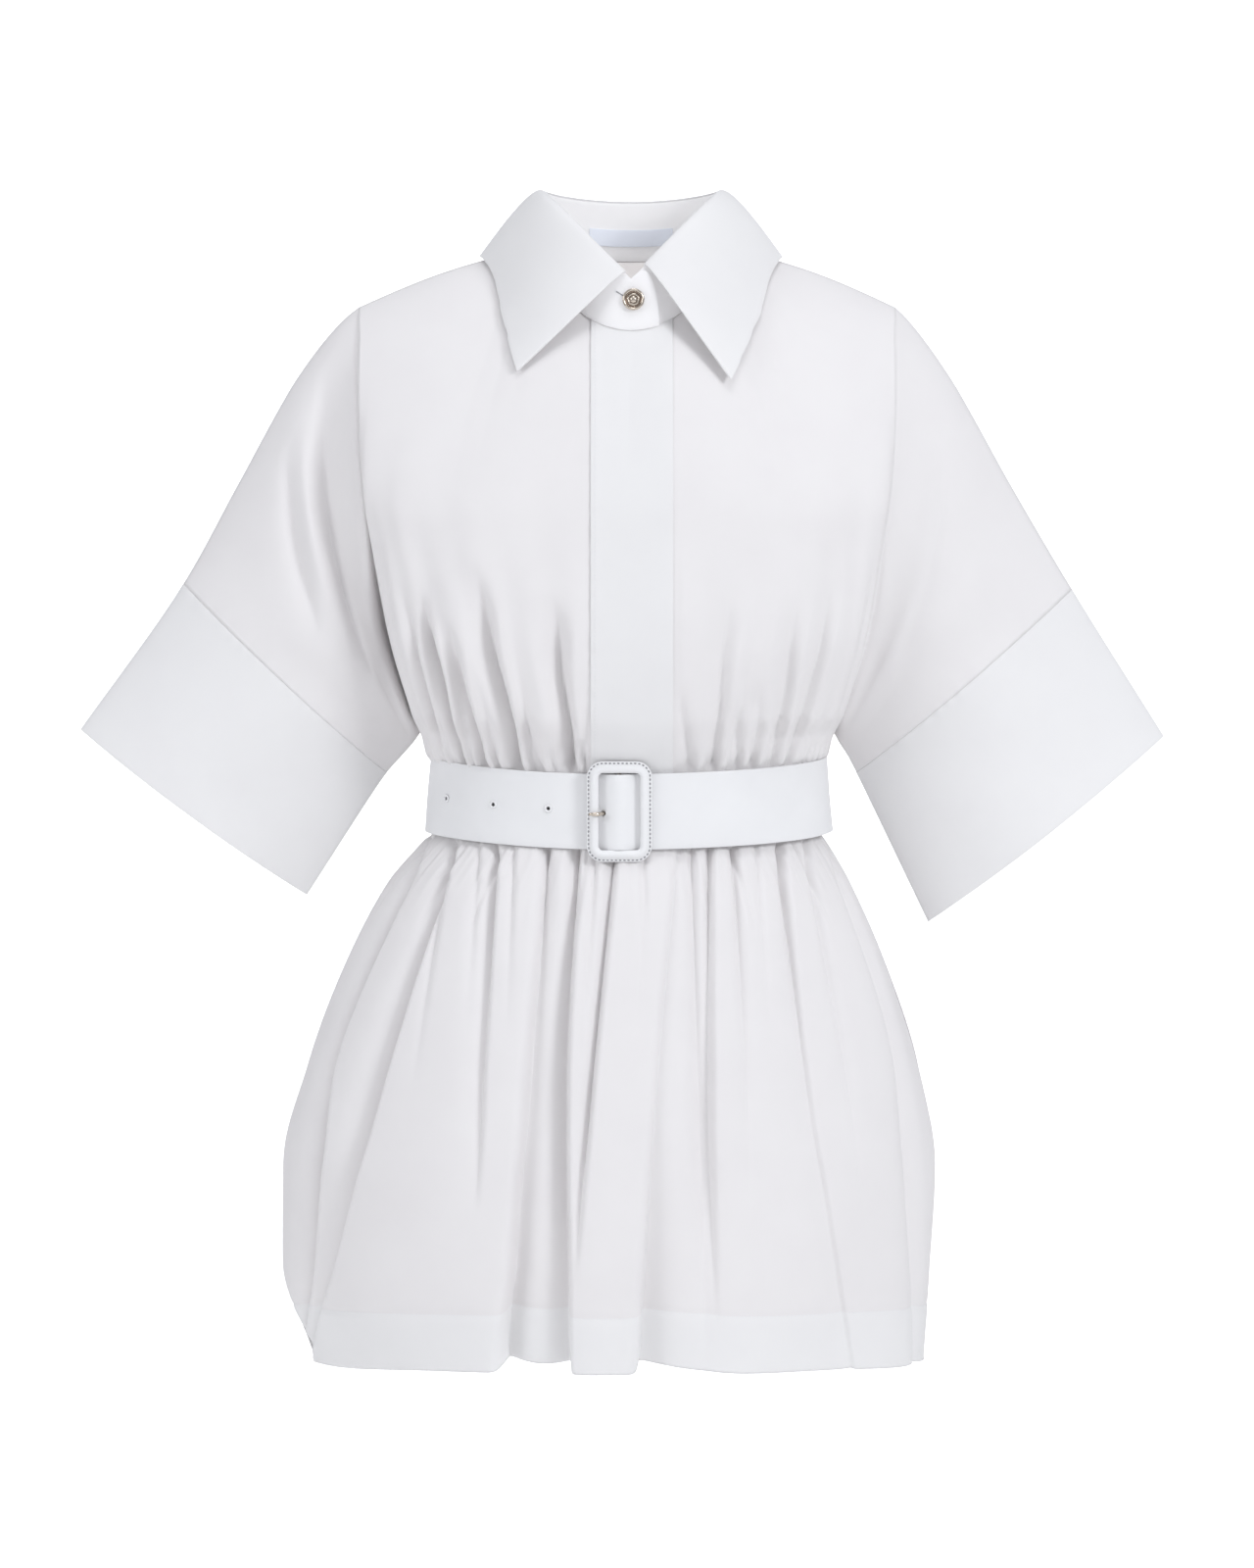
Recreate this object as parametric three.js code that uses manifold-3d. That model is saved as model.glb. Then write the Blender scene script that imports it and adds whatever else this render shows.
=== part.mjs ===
// A belted shirt dress in white cotton poplin, worn by an unseen figure and hollow inside.
// Millimetres, +Z up. The front faces -Y, and the wearer's right hand is at -X.
// The origin is midway between the two neck points, where the shoulders carry the dress.
//
// The bodice is a family of rings. A ring place is (across, down): across runs from 0 at the
// centre front or back to 1 at the armhole or side seam, negative on the wearer's right,
// and down runs from 0 at the neckline and shoulder seam to 1 at the waist seam.
import * as THREE from "three";
import { mergeVertices } from "three/addons/utils/BufferGeometryUtils.js";
import Module from "manifold-3d";

const wasm = await Module();
wasm.setup();

// Walls and clearances
const CLOTH = 1.2; // one layer of poplin, drawn thicker than the cloth is
const SEAM_GAP = 0.3; // between two pieces that are sewn together
const BAND_WALL = 1.4; // the button band, two layers
const COLLAR_WALL = 1.6; // fused collar leaf
const STAND_WALL = 1.8; // fused collar stand
const STRAP_WALL = 2.4; // lined belt strap

// Neck and shoulders
const NECK_SIDE = 66; // half the neckline's width
const NECK_SHIFT = 3; // the neck sits this far towards the wearer's left
const NECK_FRONT = 74;
const NECK_BACK = 58;
const NECK_POINT_Z = 6;
const NECK_DIP_FRONT = 60;
const NECK_DIP_BACK = 11;
const NECK_SHARE = 0.4; // share of the top edge that is neckline, the rest being shoulder
const SHOULDER_X = 196;
const SHOULDER_Y = 2;
const SHOULDER_DROP = 44; // from the neck point to the shoulder point
const SHOULDER_BOW = 5; // the shoulder seam rises this much above a straight line

// Levels of the bodice below the shoulders, each a ring made of four quarter ellipses
const CHEST_DOWN = 0.45; // everything above this level rolls over the shoulders
const LEVELS = [
  { level: "chest", down: 0.45, z: -190, half: 187, front: -120, sideFront: -74, sideBack: 62, back: 100 },
  { level: "ribs", down: 0.68, z: -270, half: 173, front: -125, sideFront: -70, sideBack: 56, back: 97 },
  { level: "blouse", down: 0.85, z: -331, half: 157, front: -120, sideFront: -36, sideBack: 30, back: 95 },
  { level: "underarm", down: 0.9, z: -350, half: 151, front: -112, sideFront: 0, sideBack: 0, back: 92 },
  { level: "brim", down: 0.935, z: -363, half: 147, front: -103, sideFront: 0, sideBack: 0, back: 89 },
  { level: "belt top", down: 0.965, z: -374.5, half: 141, front: -96, sideFront: 0, sideBack: 0, back: 85.5 },
  { level: "waist", down: 1, z: -399, half: 140, front: -95, sideFront: 0, sideBack: 0, back: 85 },
];
const UNDERARM_DOWN = 0.9;

// How the cloth leaves the top edge: its pull in mm and its slope below level, by place across
const ROLL = [
  { across: 0, frontPull: 120, frontSlope: 60, backPull: 100, backSlope: 48 },
  { across: 0.4, frontPull: 140, frontSlope: 24, backPull: 125, backSlope: 20 },
  { across: 1, frontPull: 120, frontSlope: 18, backPull: 115, backSlope: 18 },
];

// Gathers above the belt. Each runs from the waist up to where it dies out, x in mm
const FRONT_GATHERS = [
  { waistX: -128, endX: -163, endZ: -232, depth: 5 },
  { waistX: -114, endX: -150, endZ: -236, depth: 10 },
  { waistX: -99, endX: -131, endZ: -256, depth: 8 },
  { waistX: -75, endX: -108, endZ: -216, depth: 11 },
  { waistX: -60, endX: -76, endZ: -322, depth: 4 },
  { waistX: -38, endX: -53, endZ: -236, depth: 9 },
  { waistX: -30, endX: -32, endZ: -342, depth: 3 },
  { waistX: 44, endX: 40, endZ: -302, depth: 4 },
  { waistX: 61, endX: 74, endZ: -230, depth: 7 },
  { waistX: 79, endX: 82, endZ: -318, depth: 4 },
  { waistX: 90, endX: 99, endZ: -300, depth: 4 },
  { waistX: 103, endX: 124, endZ: -240, depth: 5 },
  { waistX: 114, endX: 148, endZ: -230, depth: 4 },
  { waistX: 126, endX: 150, endZ: -306, depth: 3 },
];
const BACK_GATHERS = [
  { waistX: -122, endX: -147, endZ: -262, depth: 6 },
  { waistX: -106, endX: -131, endZ: -320, depth: 5 },
  { waistX: -90, endX: -113, endZ: -236, depth: 9 },
  { waistX: -71, endX: -84, endZ: -300, depth: 6 },
  { waistX: -55, endX: -68, endZ: -248, depth: 8 },
  { waistX: -37, endX: -42, endZ: -326, depth: 4 },
  { waistX: -19, endX: -24, endZ: -256, depth: 8 },
  { waistX: -1, endX: 0, endZ: -312, depth: 5 },
  { waistX: 17, endX: 22, endZ: -268, depth: 7 },
  { waistX: 36, endX: 44, endZ: -244, depth: 9 },
  { waistX: 54, endX: 64, endZ: -318, depth: 5 },
  { waistX: 72, endX: 90, endZ: -258, depth: 8 },
  { waistX: 91, endX: 110, endZ: -306, depth: 6 },
  { waistX: 106, endX: 132, endZ: -240, depth: 8 },
  { waistX: 122, endX: 146, endZ: -288, depth: 5 },
];
const GATHER_WIDTH_WAIST = 3.2;
const GATHER_WIDTH_END = 8;
const GATHER_UNDER_BELT = 0.18; // share of a gather's depth that the belt leaves

// The button band, and the front edges that it covers
const BAND_LEFT_X = -26;
const BAND_RIGHT_X = 33;
const BAND_MIDDLE_X = (BAND_LEFT_X + BAND_RIGHT_X) / 2;
const BAND_HALF = (BAND_RIGHT_X - BAND_LEFT_X) / 2;
const BAND_FREE = 7; // the gathers reach their depth this far from the band
const BAND_LINES = [-26, -19, -11.25, 3.5, 18.25, 33];
const RIGHT_FRONT_EDGE_X = -23;
const LEFT_FRONT_EDGE_X = BAND_LINES[1];

// Sleeves from the armhole (along 0) past the band seam (along 1) to the band's edge (along 1.5)
const BAND_SEAM = 1;
const SLEEVE_END = 1.5;
const ARMHOLE_EASE = 0.24; // the sleeve leaves the armhole's shape over this stretch
const SLEEVES = {
  right: {
    sign: -1, tuck: 26, tuckWidth: 0.1,
    sections: [
      { along: 0, topX: 197, topZ: -38, lowX: 151, lowZ: -350, front: 56, back: 56, round: 0.62 },
      { along: 0.08, topX: 219, topZ: -57, lowX: 153, lowZ: -353, front: 58, back: 57, round: 0.62 },
      { along: 0.2, topX: 241, topZ: -89, lowX: 156, lowZ: -357, front: 57, back: 57, round: 0.64 },
      { along: 0.55, topX: 284, topZ: -166, lowX: 165, lowZ: -367, front: 51, back: 52, round: 0.7 },
      { along: 1, topX: 325, topZ: -240, lowX: 176, lowZ: -379, front: 45, back: 45, round: 0.76 },
      { along: 1.5, topX: 401, topZ: -347, lowX: 235, lowZ: -469, front: 41, back: 41, round: 0.8 },
    ],
  },
  left: {
    sign: 1, tuck: 7, tuckWidth: 0.12,
    sections: [
      { along: 0, topX: 197, topZ: -38, lowX: 151, lowZ: -350, front: 60, back: 56, round: 0.62 },
      { along: 0.08, topX: 216, topZ: -58, lowX: 153, lowZ: -353, front: 61, back: 57, round: 0.62 },
      { along: 0.2, topX: 237, topZ: -90, lowX: 155, lowZ: -357, front: 61, back: 57, round: 0.64 },
      { along: 0.55, topX: 281, topZ: -168, lowX: 161, lowZ: -366, front: 54, back: 52, round: 0.7 },
      { along: 1, topX: 326, topZ: -244, lowX: 168, lowZ: -379, front: 47, back: 45, round: 0.76 },
      { along: 1.5, topX: 394, topZ: -352, lowX: 221, lowZ: -489, front: 43, back: 41, round: 0.8 },
    ],
  },
};
// Soft folds that fall from the shoulder point, on the front and the back of each sleeve
const SLEEVE_FOLDS = {
  right: [
    { startAlong: 0.14, endAlong: 0.34, from: 0.08, to: 0.72, depth: 13, width: 8, face: -1 },
    { startAlong: 0.3, endAlong: 0.52, from: 0.1, to: 0.55, depth: 8, width: 12, face: -1 },
    { startAlong: 0.16, endAlong: 0.4, from: 0.1, to: 0.66, depth: 10, width: 10, face: 1 },
  ],
  left: [
    { startAlong: 0.2, endAlong: 0.42, from: 0.12, to: 0.74, depth: 5, width: 16, face: -1 },
    { startAlong: 0.18, endAlong: 0.44, from: 0.1, to: 0.68, depth: 9, width: 11, face: 1 },
  ],
};

// Skirt levels below the waist seam; left and right are the half widths on each side
const WAIST_Z = -399;
const SKIRT_LEVELS = [
  { z: WAIST_Z, right: 140, left: 140, front: 95, back: 85 },
  { z: -428, right: 141, left: 140.5, front: 96, back: 85.5 },
  { z: -437, right: 155, left: 149, front: 106, back: 95 },
  { z: -460, right: 176, left: 164, front: 118, back: 108 },
  { z: -522, right: 208, left: 191, front: 134, back: 124 },
  { z: -594, right: 235, left: 214, front: 148, back: 136 },
  { z: -667, right: 253, left: 227, front: 157, back: 144 },
  { z: -739, right: 253, left: 224, front: 161, back: 148 },
  { z: -808, right: 232, left: 219, front: 160, back: 148 },
];
const HEM_SIDE_Z = -814;
const HEM_FRONT_RISE = 15; // the hem hangs higher at the front than at the sides
const HEM_BACK_RISE = 8;
const HEM_DEPTH = 42; // turned up and stitched, so the wall is doubled
const HEM_WALL = 1.8;
const HEM_START = 1 - HEM_DEPTH / 412; // as a share of the way down the skirt

// Skirt folds: x of the valley at the waist, midway and at the hem, its depth at each, and how
// wide it opens at the waist and the hem towards the wearer's right (openR) and left (openL)
const SKIRT_FRONT_FOLDS = [
  { waistX: -134, midX: -222, hemX: -228, waist: 5, mid: 14, hem: 6, tight: 4, openR: 14, openL: 8 },
  { waistX: -116, midX: -185, hemX: -212, waist: 8, mid: 14, hem: 5, tight: 4, openR: 16, openL: 6 },
  { waistX: -106, midX: -140, hemX: -160, waist: 5, mid: 1, hem: 0, tight: 3, openR: 8, openL: 8 },
  { waistX: -95, midX: -106, hemX: -118, waist: 9, mid: 9, hem: 0, tight: 4, openR: 14, openL: 6 },
  { waistX: -76, midX: -90, hemX: -103, waist: 5, mid: 0, hem: 0, tight: 3, openR: 6, openL: 6 },
  { waistX: -57, midX: -74, hemX: -91, waist: 9, mid: 11, hem: 25, tight: 3, openR: 4, openL: 28 },
  { waistX: -34, midX: -46, hemX: -43, waist: 9, mid: 22, hem: 21, tight: 4, openR: 20, openL: 5 },
  { waistX: -6, midX: -27, hemX: -32, waist: 8, mid: 12, hem: 0, tight: 3, openR: 8, openL: 4 },
  { waistX: 40, midX: 21, hemX: 9, waist: 4, mid: 7, hem: 22, tight: 3, openR: 4, openL: 34 },
  { waistX: 50, midX: 50, hemX: 50, waist: 6, mid: 6, hem: 2, tight: 3, openR: 10, openL: 8 },
  { waistX: 61, midX: 62, hemX: 70, waist: 9, mid: 9, hem: 1, tight: 3, openR: 12, openL: 5 },
  { waistX: 77, midX: 90, hemX: 104, waist: 8, mid: 3, hem: 0, tight: 4, openR: 6, openL: 7 },
  { waistX: 93, midX: 112, hemX: 132, waist: 4, mid: 0, hem: 0, tight: 3, openR: 5, openL: 5 },
  { waistX: 109, midX: 134, hemX: 164, waist: 9, mid: 4, hem: 3, tight: 3, openR: 8, openL: 5 },
  { waistX: 126, midX: 162, hemX: 184, waist: 6, mid: 2, hem: 0, tight: 3, openR: 6, openL: 7 },
  { waistX: 137, midX: 200, hemX: 206, waist: 4, mid: 7, hem: 4, tight: 4, openR: 10, openL: 12 },
];
const SKIRT_BACK_FOLDS = [
  { waistX: -136, midX: -210, hemX: -220, waist: 5, mid: 10, hem: 6, tight: 4, openR: 16, openL: 14 },
  { waistX: -118, midX: -168, hemX: -186, waist: 8, mid: 18, hem: 12, tight: 4, openR: 14, openL: 12 },
  { waistX: -100, midX: -142, hemX: -160, waist: 6, mid: 4, hem: 2, tight: 4, openR: 10, openL: 10 },
  { waistX: -80, midX: -112, hemX: -124, waist: 9, mid: 22, hem: 26, tight: 4, openR: 12, openL: 20 },
  { waistX: -60, midX: -80, hemX: -92, waist: 7, mid: 8, hem: 4, tight: 3, openR: 10, openL: 10 },
  { waistX: -41, midX: -48, hemX: -50, waist: 9, mid: 26, hem: 30, tight: 4, openR: 20, openL: 12 },
  { waistX: -20, midX: -20, hemX: -16, waist: 7, mid: 6, hem: 3, tight: 3, openR: 8, openL: 8 },
  { waistX: 2, midX: 8, hemX: 14, waist: 9, mid: 20, hem: 24, tight: 4, openR: 14, openL: 18 },
  { waistX: 24, midX: 34, hemX: 44, waist: 7, mid: 7, hem: 4, tight: 3, openR: 10, openL: 8 },
  { waistX: 45, midX: 64, hemX: 78, waist: 9, mid: 24, hem: 28, tight: 4, openR: 18, openL: 14 },
  { waistX: 66, midX: 96, hemX: 108, waist: 6, mid: 6, hem: 3, tight: 4, openR: 10, openL: 10 },
  { waistX: 87, midX: 124, hemX: 140, waist: 9, mid: 20, hem: 20, tight: 4, openR: 14, openL: 16 },
  { waistX: 108, midX: 152, hemX: 168, waist: 7, mid: 6, hem: 4, tight: 4, openR: 12, openL: 10 },
  { waistX: 128, midX: 184, hemX: 196, waist: 6, mid: 14, hem: 10, tight: 4, openR: 14, openL: 14 },
];

// Collar. Angles run round the neck from the centre front, positive on the wearer's left
const FOLD_SIDE = 64; // the fold line's half width at the sides of the neck
const FOLD_FRONT = 71;
const FOLD_BACK = 60;
const FOLD_SIDE_Z = 46;
const FOLD_DIP_FRONT = 63;
const FOLD_DIP_BACK = 8;
const STAND_TAB = 17; // degrees that the buttoned end reaches past the centre front
const STAND_UNDER = 14; // degrees that the end beneath it reaches the other way
const STAND_LAP = 2.3; // how far the buttoned end stands proud of the end beneath
const LEAF_START = -3.5; // the wearer's right leaf starts here
const LEAF_END = -351.5; // and the left leaf ends here, a full turn on
const LEAF_BELLY = 7; // how far the leaf bows out between fold and edge
// Where the leaf's outer edge lies on the bodice, from the right tip round the back to the left,
// and how far off it
const LEAF_EDGE = [
  { at: "right tip", turn: -3.5, face: -1, across: -0.334, down: 0.222, lift: 4 },
  { at: "right chest", turn: -30, face: -1, across: -0.47, down: 0.135, lift: 3.6 },
  { at: "right shoulder", turn: -82, face: -1, across: -0.6, down: 0.0, lift: 3.4 },
  { at: "right nape", turn: -135, face: 1, across: -0.42, down: 0.07, lift: 5 },
  { at: "nape", turn: -180, face: 1, across: 0, down: 0.1, lift: 5 },
  { at: "left nape", turn: -225, face: 1, across: 0.42, down: 0.07, lift: 5 },
  { at: "left shoulder", turn: -278, face: -1, across: 0.61, down: 0.0, lift: 3.4 },
  { at: "left chest", turn: -328, face: -1, across: 0.475, down: 0.14, lift: 4.4 },
  { at: "left tip", turn: -351.5, face: -1, across: 0.286, down: 0.227, lift: 8 },
];

// Belt and buckle
const BELT_Z = -399;
const BELT_HEIGHT = 54.5;
const BELT_HALF = 145.2; // the inner turn's centre line
const BELT_FRONT = 102;
const BELT_BACK = 90;
const BELT_LAP = 3; // the tail lies this far outside the first turn
const BELT_START = -1.5; // degrees from the centre front, positive to the wearer's left
const BELT_END = 472; // a full turn and 112 degrees more
const BUCKLE_X = -7;
const BUCKLE_Y = -109.2;
const BUCKLE_WIDTH = 47;
const BUCKLE_HEIGHT = 71;
const BUCKLE_OPENING_WIDTH = 30;
const BUCKLE_OPENING_HEIGHT = 57;
const BUCKLE_THICK = 4.4;
const BUCKLE_CORNER = 9;
const BAR_RADIUS = 1.6;
const BAR_Y = -105.6;
const STRAP_OVER_BAR = 7.2; // the strap rises this far to pass over the bar
const HOLE_RADIUS = 1.3;
const HOLE_ANGLES = [-64, -41.5, -24.2];
const PRONG_RADIUS = 1.1;
const PRONG_HOLE_RADIUS = 2.6;
const PRONG_Z = -400;

const BUTTON_RADIUS = 7.9;
const BUTTON_TURN = 1.4; // degrees round the stand
const BUTTON_UP = 0.58; // share of the stand's height

const LABEL_DEGREES = 29; // each side of the nape
const LABEL_LOW = 0.29;
const LABEL_HIGH = 0.58;
const LABEL_WALL = 0.8;

const WHITE = 0xf3f3f5;
const COLOURS = {
  poplin: { color: WHITE, roughness: 0.85, metalness: 0 },
  belt: { color: 0xf1f1f2, roughness: 0.7, metalness: 0 },
  metal: { color: 0xcdbf9f, roughness: 0.25, metalness: 1 },
  label: { color: 0xd9dce8, roughness: 0.6, metalness: 0 },
};

// Small helpers
const rad = THREE.MathUtils.degToRad;
const clamp = (x, low, high) => Math.min(high, Math.max(low, x));
const mix = (a, b, t) => a + (b - a) * t;
const ease = (t) => {
  const c = clamp(t, 0, 1);
  return c * c * (3 - 2 * c);
};
const range = (from, to, steps) => Array.from({ length: steps + 1 }, (_, i) => mix(from, to, i / steps));
const vec = (x, y, z) => new THREE.Vector3(x, y, z);

// A smooth curve through one column of a table, read at x of its key column. Its slopes are
// held back so that it never overshoots a row
function read(table, key, column, x) {
  const last = table.length - 1;
  const way = Math.sign(table[last][key] - table[0][key]);
  let i = 0;
  while (i < last - 1 && (table[i + 1][key] - x) * way < 0) i++;
  const rise = (k) => (table[k + 1][column] - table[k][column]) / (table[k + 1][key] - table[k][key]);
  const slopeAt = (k) => {
    if (k === 0) return rise(0);
    if (k === last) return rise(last - 1);
    const [before, after] = [rise(k - 1), rise(k)];
    return before * after <= 0 ? 0 : (2 * before * after) / (before + after);
  };
  const [a, b] = [table[i], table[i + 1]];
  const span = b[key] - a[key];
  const t = clamp((x - a[key]) / span, 0, 1);
  const t2 = t * t;
  const t3 = t2 * t;
  return (
    (2 * t3 - 3 * t2 + 1) * a[column] + (t3 - 2 * t2 + t) * span * slopeAt(i) +
    (3 * t2 - 2 * t3) * b[column] + (t3 - t2) * span * slopeAt(i + 1)
  );
}

// The outward normal of a surface at (u, v), by small steps that stay inside its range
function normalOf(at, u, v, ranges, sign) {
  const step = 1e-3;
  const [u0, u1, v0, v1] = ranges;
  const stepU = (u1 - u0) * step;
  const stepV = (v1 - v0) * step;
  const du = at(Math.min(u1, u + stepU), v).sub(at(Math.max(u0, u - stepU), v));
  const dv = at(u, Math.min(v1, v + stepV)).sub(at(u, Math.max(v0, v - stepV)));
  return du.cross(dv).multiplyScalar(sign).normalize();
}

// The neckline at an angle round the neck
function neckline(angle) {
  const c = Math.cos(rad(angle));
  const s = Math.sin(rad(angle));
  const front = c > 0;
  const dip = front ? NECK_DIP_FRONT * Math.pow(c, 1.4) : NECK_DIP_BACK * Math.pow(-c, 1.2);
  return vec(NECK_SHIFT + NECK_SIDE * s, front ? -NECK_FRONT * c : -NECK_BACK * c, NECK_POINT_Z - dip);
}

// The top edge of the front (face -1) or the back (face 1): neckline, then shoulder seam
function topEdge(face, across) {
  const side = Math.sign(across) || 1;
  const share = Math.abs(across);
  if (share <= NECK_SHARE) {
    const turn = (share / NECK_SHARE) * 90;
    return neckline(side * (face < 0 ? turn : 180 - turn));
  }
  const t = (share - NECK_SHARE) / (1 - NECK_SHARE);
  const neck = neckline(side * 90);
  return vec(
    mix(neck.x, side * SHOULDER_X, t),
    mix(neck.y, SHOULDER_Y, t),
    NECK_POINT_Z - SHOULDER_DROP * t + SHOULDER_BOW * Math.sin(Math.PI * t),
  );
}

// A ring of the bodice at or below the chest
function ring(face, across, down) {
  const turn = rad(90 * across);
  const edge = read(LEVELS, "down", face < 0 ? "sideFront" : "sideBack", down);
  const middle = read(LEVELS, "down", face < 0 ? "front" : "back", down);
  return vec(
    read(LEVELS, "down", "half", down) * Math.sin(turn),
    mix(edge, middle, Math.cos(turn)),
    read(LEVELS, "down", "z", down),
  );
}

// The plain bodice, before its gathers
function bodice(face, across, down) {
  if (down >= CHEST_DOWN) return ring(face, across, down);
  const step = 0.01;
  const top = topEdge(face, across);
  const chest = ring(face, across, CHEST_DOWN);
  const chestPull = ring(face, across, CHEST_DOWN + step).sub(chest).multiplyScalar(CHEST_DOWN / step);
  const share = Math.abs(across);
  const pull = read(ROLL, "across", face < 0 ? "frontPull" : "backPull", share);
  const slope = rad(read(ROLL, "across", face < 0 ? "frontSlope" : "backSlope", share));
  const topPull = vec(0, face * Math.cos(slope), -Math.sin(slope)).multiplyScalar(pull);
  const t = down / CHEST_DOWN;
  const t2 = t * t;
  const t3 = t2 * t;
  return top.multiplyScalar(2 * t3 - 3 * t2 + 1)
    .addScaledVector(topPull, t3 - 2 * t2 + t)
    .addScaledVector(chest, 3 * t2 - 2 * t3)
    .addScaledVector(chestPull, t3 - t2);
}

const bodiceNormal = (face, across, down) =>
  normalOf((a, d) => bodice(face, a, d), across, down, [-1, 1, 0, 1], face);

// Where a ring meets a plane of constant x, as a place across
function acrossAt(face, x, down) {
  let low = -1;
  let high = 1;
  for (let i = 0; i < 40; i++) {
    const middle = (low + high) / 2;
    if (bodice(face, middle, down).x < x) low = middle;
    else high = middle;
  }
  return (low + high) / 2;
}

// The place down the bodice at a height, and the place across of x there
const downAt = (z) => {
  let i = 0;
  while (i < LEVELS.length - 2 && LEVELS[i + 1].z > z) i++;
  return mix(LEVELS[i].down, LEVELS[i + 1].down, (z - LEVELS[i].z) / (LEVELS[i + 1].z - LEVELS[i].z));
};
const shareOf = (x, down) => Math.asin(clamp(x / read(LEVELS, "down", "half", down), -1, 1)) / (Math.PI / 2);

// The line that a gather follows: its place across at a place down
function gatherLine(gather) {
  const endDown = downAt(gather.endZ);
  const waist = shareOf(gather.waistX, 1);
  const end = shareOf(gather.endX, endDown);
  return { line: (down) => mix(waist, end, ease((1 - down) / (1 - endDown))), endDown, ...gather };
}
const GATHERS = { "-1": FRONT_GATHERS.map(gatherLine), 1: BACK_GATHERS.map(gatherLine) };

// How deep the gathers press the bodice in at a place
function gathering(face, across, down) {
  let sum = 0;
  for (const gather of GATHERS[face]) {
    const t = (down - gather.endDown) / (0.93 - gather.endDown);
    if (t <= 0) continue;
    const belt = mix(1, GATHER_UNDER_BELT, ease((down - 0.945) / 0.02));
    const width = mix(GATHER_WIDTH_END, GATHER_WIDTH_WAIST, clamp(t, 0, 1));
    const away = (across - gather.line(down)) * read(LEVELS, "down", "half", down) * 1.3;
    sum += gather.depth * ease(t * 1.4) * belt * Math.exp(1 - Math.hypot(1, away / width));
  }
  return sum;
}

// The gathered bodice
function bodiceCloth(face) {
  return (across, down) => {
    const point = bodice(face, across, down);
    const clear = face > 0 ? 1 : ease((Math.abs(point.x - BAND_MIDDLE_X) - BAND_HALF) / BAND_FREE);
    const depth = down < 0.3 ? 0 : clear * gathering(face, across, down);
    return depth < 0.01 ? point : point.addScaledVector(bodiceNormal(face, across, down), -depth);
  };
}

// One face of a sleeve, from its armhole edge to its band's edge
function sleeve(side, face, along, share) {
  const { sign, sections, tuck, tuckWidth } = SLEEVES[side];
  const at = (column) => read(sections, "along", column, along);
  const hump = Math.sin(Math.PI * share);
  const bow = 14 * hump * (1 - ease(along / 0.9));
  const swell = Math.pow(Math.max(0, hump), at("round"));
  const gap = Math.exp(-Math.pow((along - 0.08) / tuckWidth, 2));
  const valley = tuck * gap * ease(share / 0.35) * ease((1 - share) / 0.25);
  const depth = Math.max(6 * hump, (face < 0 ? at("front") - valley : at("back")) * swell);
  const free = vec(
    sign * (mix(at("topX"), at("lowX"), share) + bow),
    face * depth,
    mix(at("topZ"), at("lowZ"), share),
  );
  let creases = 0;
  for (const fold of SLEEVE_FOLDS[side]) {
    if (fold.face !== face) continue;
    const t = (share - fold.from) / (fold.to - fold.from);
    if (t <= 0 || t >= 1) continue;
    const away = (along - mix(fold.startAlong, fold.endAlong, t)) * mix(230, 60, share);
    creases += fold.depth * Math.sin(Math.PI * t) * Math.exp(1 - Math.hypot(1, away / fold.width));
  }
  free.y -= face * creases;
  if (along >= ARMHOLE_EASE) return free;
  const edge = bodice(face, sign, share * UNDERARM_DOWN);
  return edge.lerp(free, Math.sin((Math.PI / 2) * clamp(along / ARMHOLE_EASE, 0, 1)));
}

// The skirt's half width and its depths at a height, and the place round it of x
const skirtHalf = (z, x) => read(SKIRT_LEVELS, "z", x < 0 ? "right" : "left", z);
const skirtDepth = (z, face) => read(SKIRT_LEVELS, "z", face < 0 ? "front" : "back", z);
const turnOf = (x, z) => Math.asin(clamp(x / skirtHalf(z, x), -0.999, 0.999)) / (Math.PI / 2);

// A skirt fold, read at shares of the way down
const skirtFold = (fold) => {
  const { tight, openR, openL } = fold;
  const stops = [
    { drop: 0, x: fold.waistX, depth: fold.waist, r: tight, l: tight },
    { drop: 0.52, x: fold.midX, depth: fold.mid, r: mix(tight, openR, 0.7), l: mix(tight, openL, 0.7) },
    { drop: 1, x: fold.hemX, depth: fold.hem, r: openR, l: openL },
  ];
  return {
    turn: (drop) => turnOf(read(stops, "drop", "x", drop), mix(WAIST_Z, HEM_SIDE_Z, drop)),
    depth: (drop) => Math.max(0, read(stops, "drop", "depth", drop)),
    openR: (drop) => read(stops, "drop", "r", drop),
    openL: (drop) => read(stops, "drop", "l", drop),
  };
};
const SKIRT_FOLDS = { "-1": SKIRT_FRONT_FOLDS.map(skirtFold), 1: SKIRT_BACK_FOLDS.map(skirtFold) };

// One face of the skirt; turn runs from -1 at the right side seam to 1 at the left, drop 0 to 1
function skirt(face, turn, drop) {
  const angle = rad(90 * turn);
  const rise = (face < 0 ? HEM_FRONT_RISE : HEM_BACK_RISE) * Math.cos(angle);
  const z = mix(WAIST_Z, HEM_SIDE_Z + rise, drop);
  const half = skirtHalf(z, turn);
  const deep = skirtDepth(z, face);
  const arc = Math.hypot(half * Math.cos(angle), deep * Math.sin(angle));
  const beltHold = mix(0.15, 1, ease((-424 - z) / 12));
  let depth = 0;
  for (const fold of SKIRT_FOLDS[face]) {
    const away = (turn - fold.turn(drop)) * (Math.PI / 2) * arc;
    const width = away < 0 ? fold.openR(drop) : fold.openL(drop);
    depth += fold.depth(drop) * Math.exp(1 - Math.hypot(1, away / width));
  }
  depth *= beltHold;
  const outX = Math.sin(angle) / half;
  const outY = (face * Math.cos(angle)) / deep;
  const length = Math.hypot(outX, outY);
  return vec(
    half * Math.sin(angle) - (depth * outX) / length,
    face * deep * Math.cos(angle) - (depth * outY) / length,
    z + 0.1 * depth * drop,
  );
}

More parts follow.
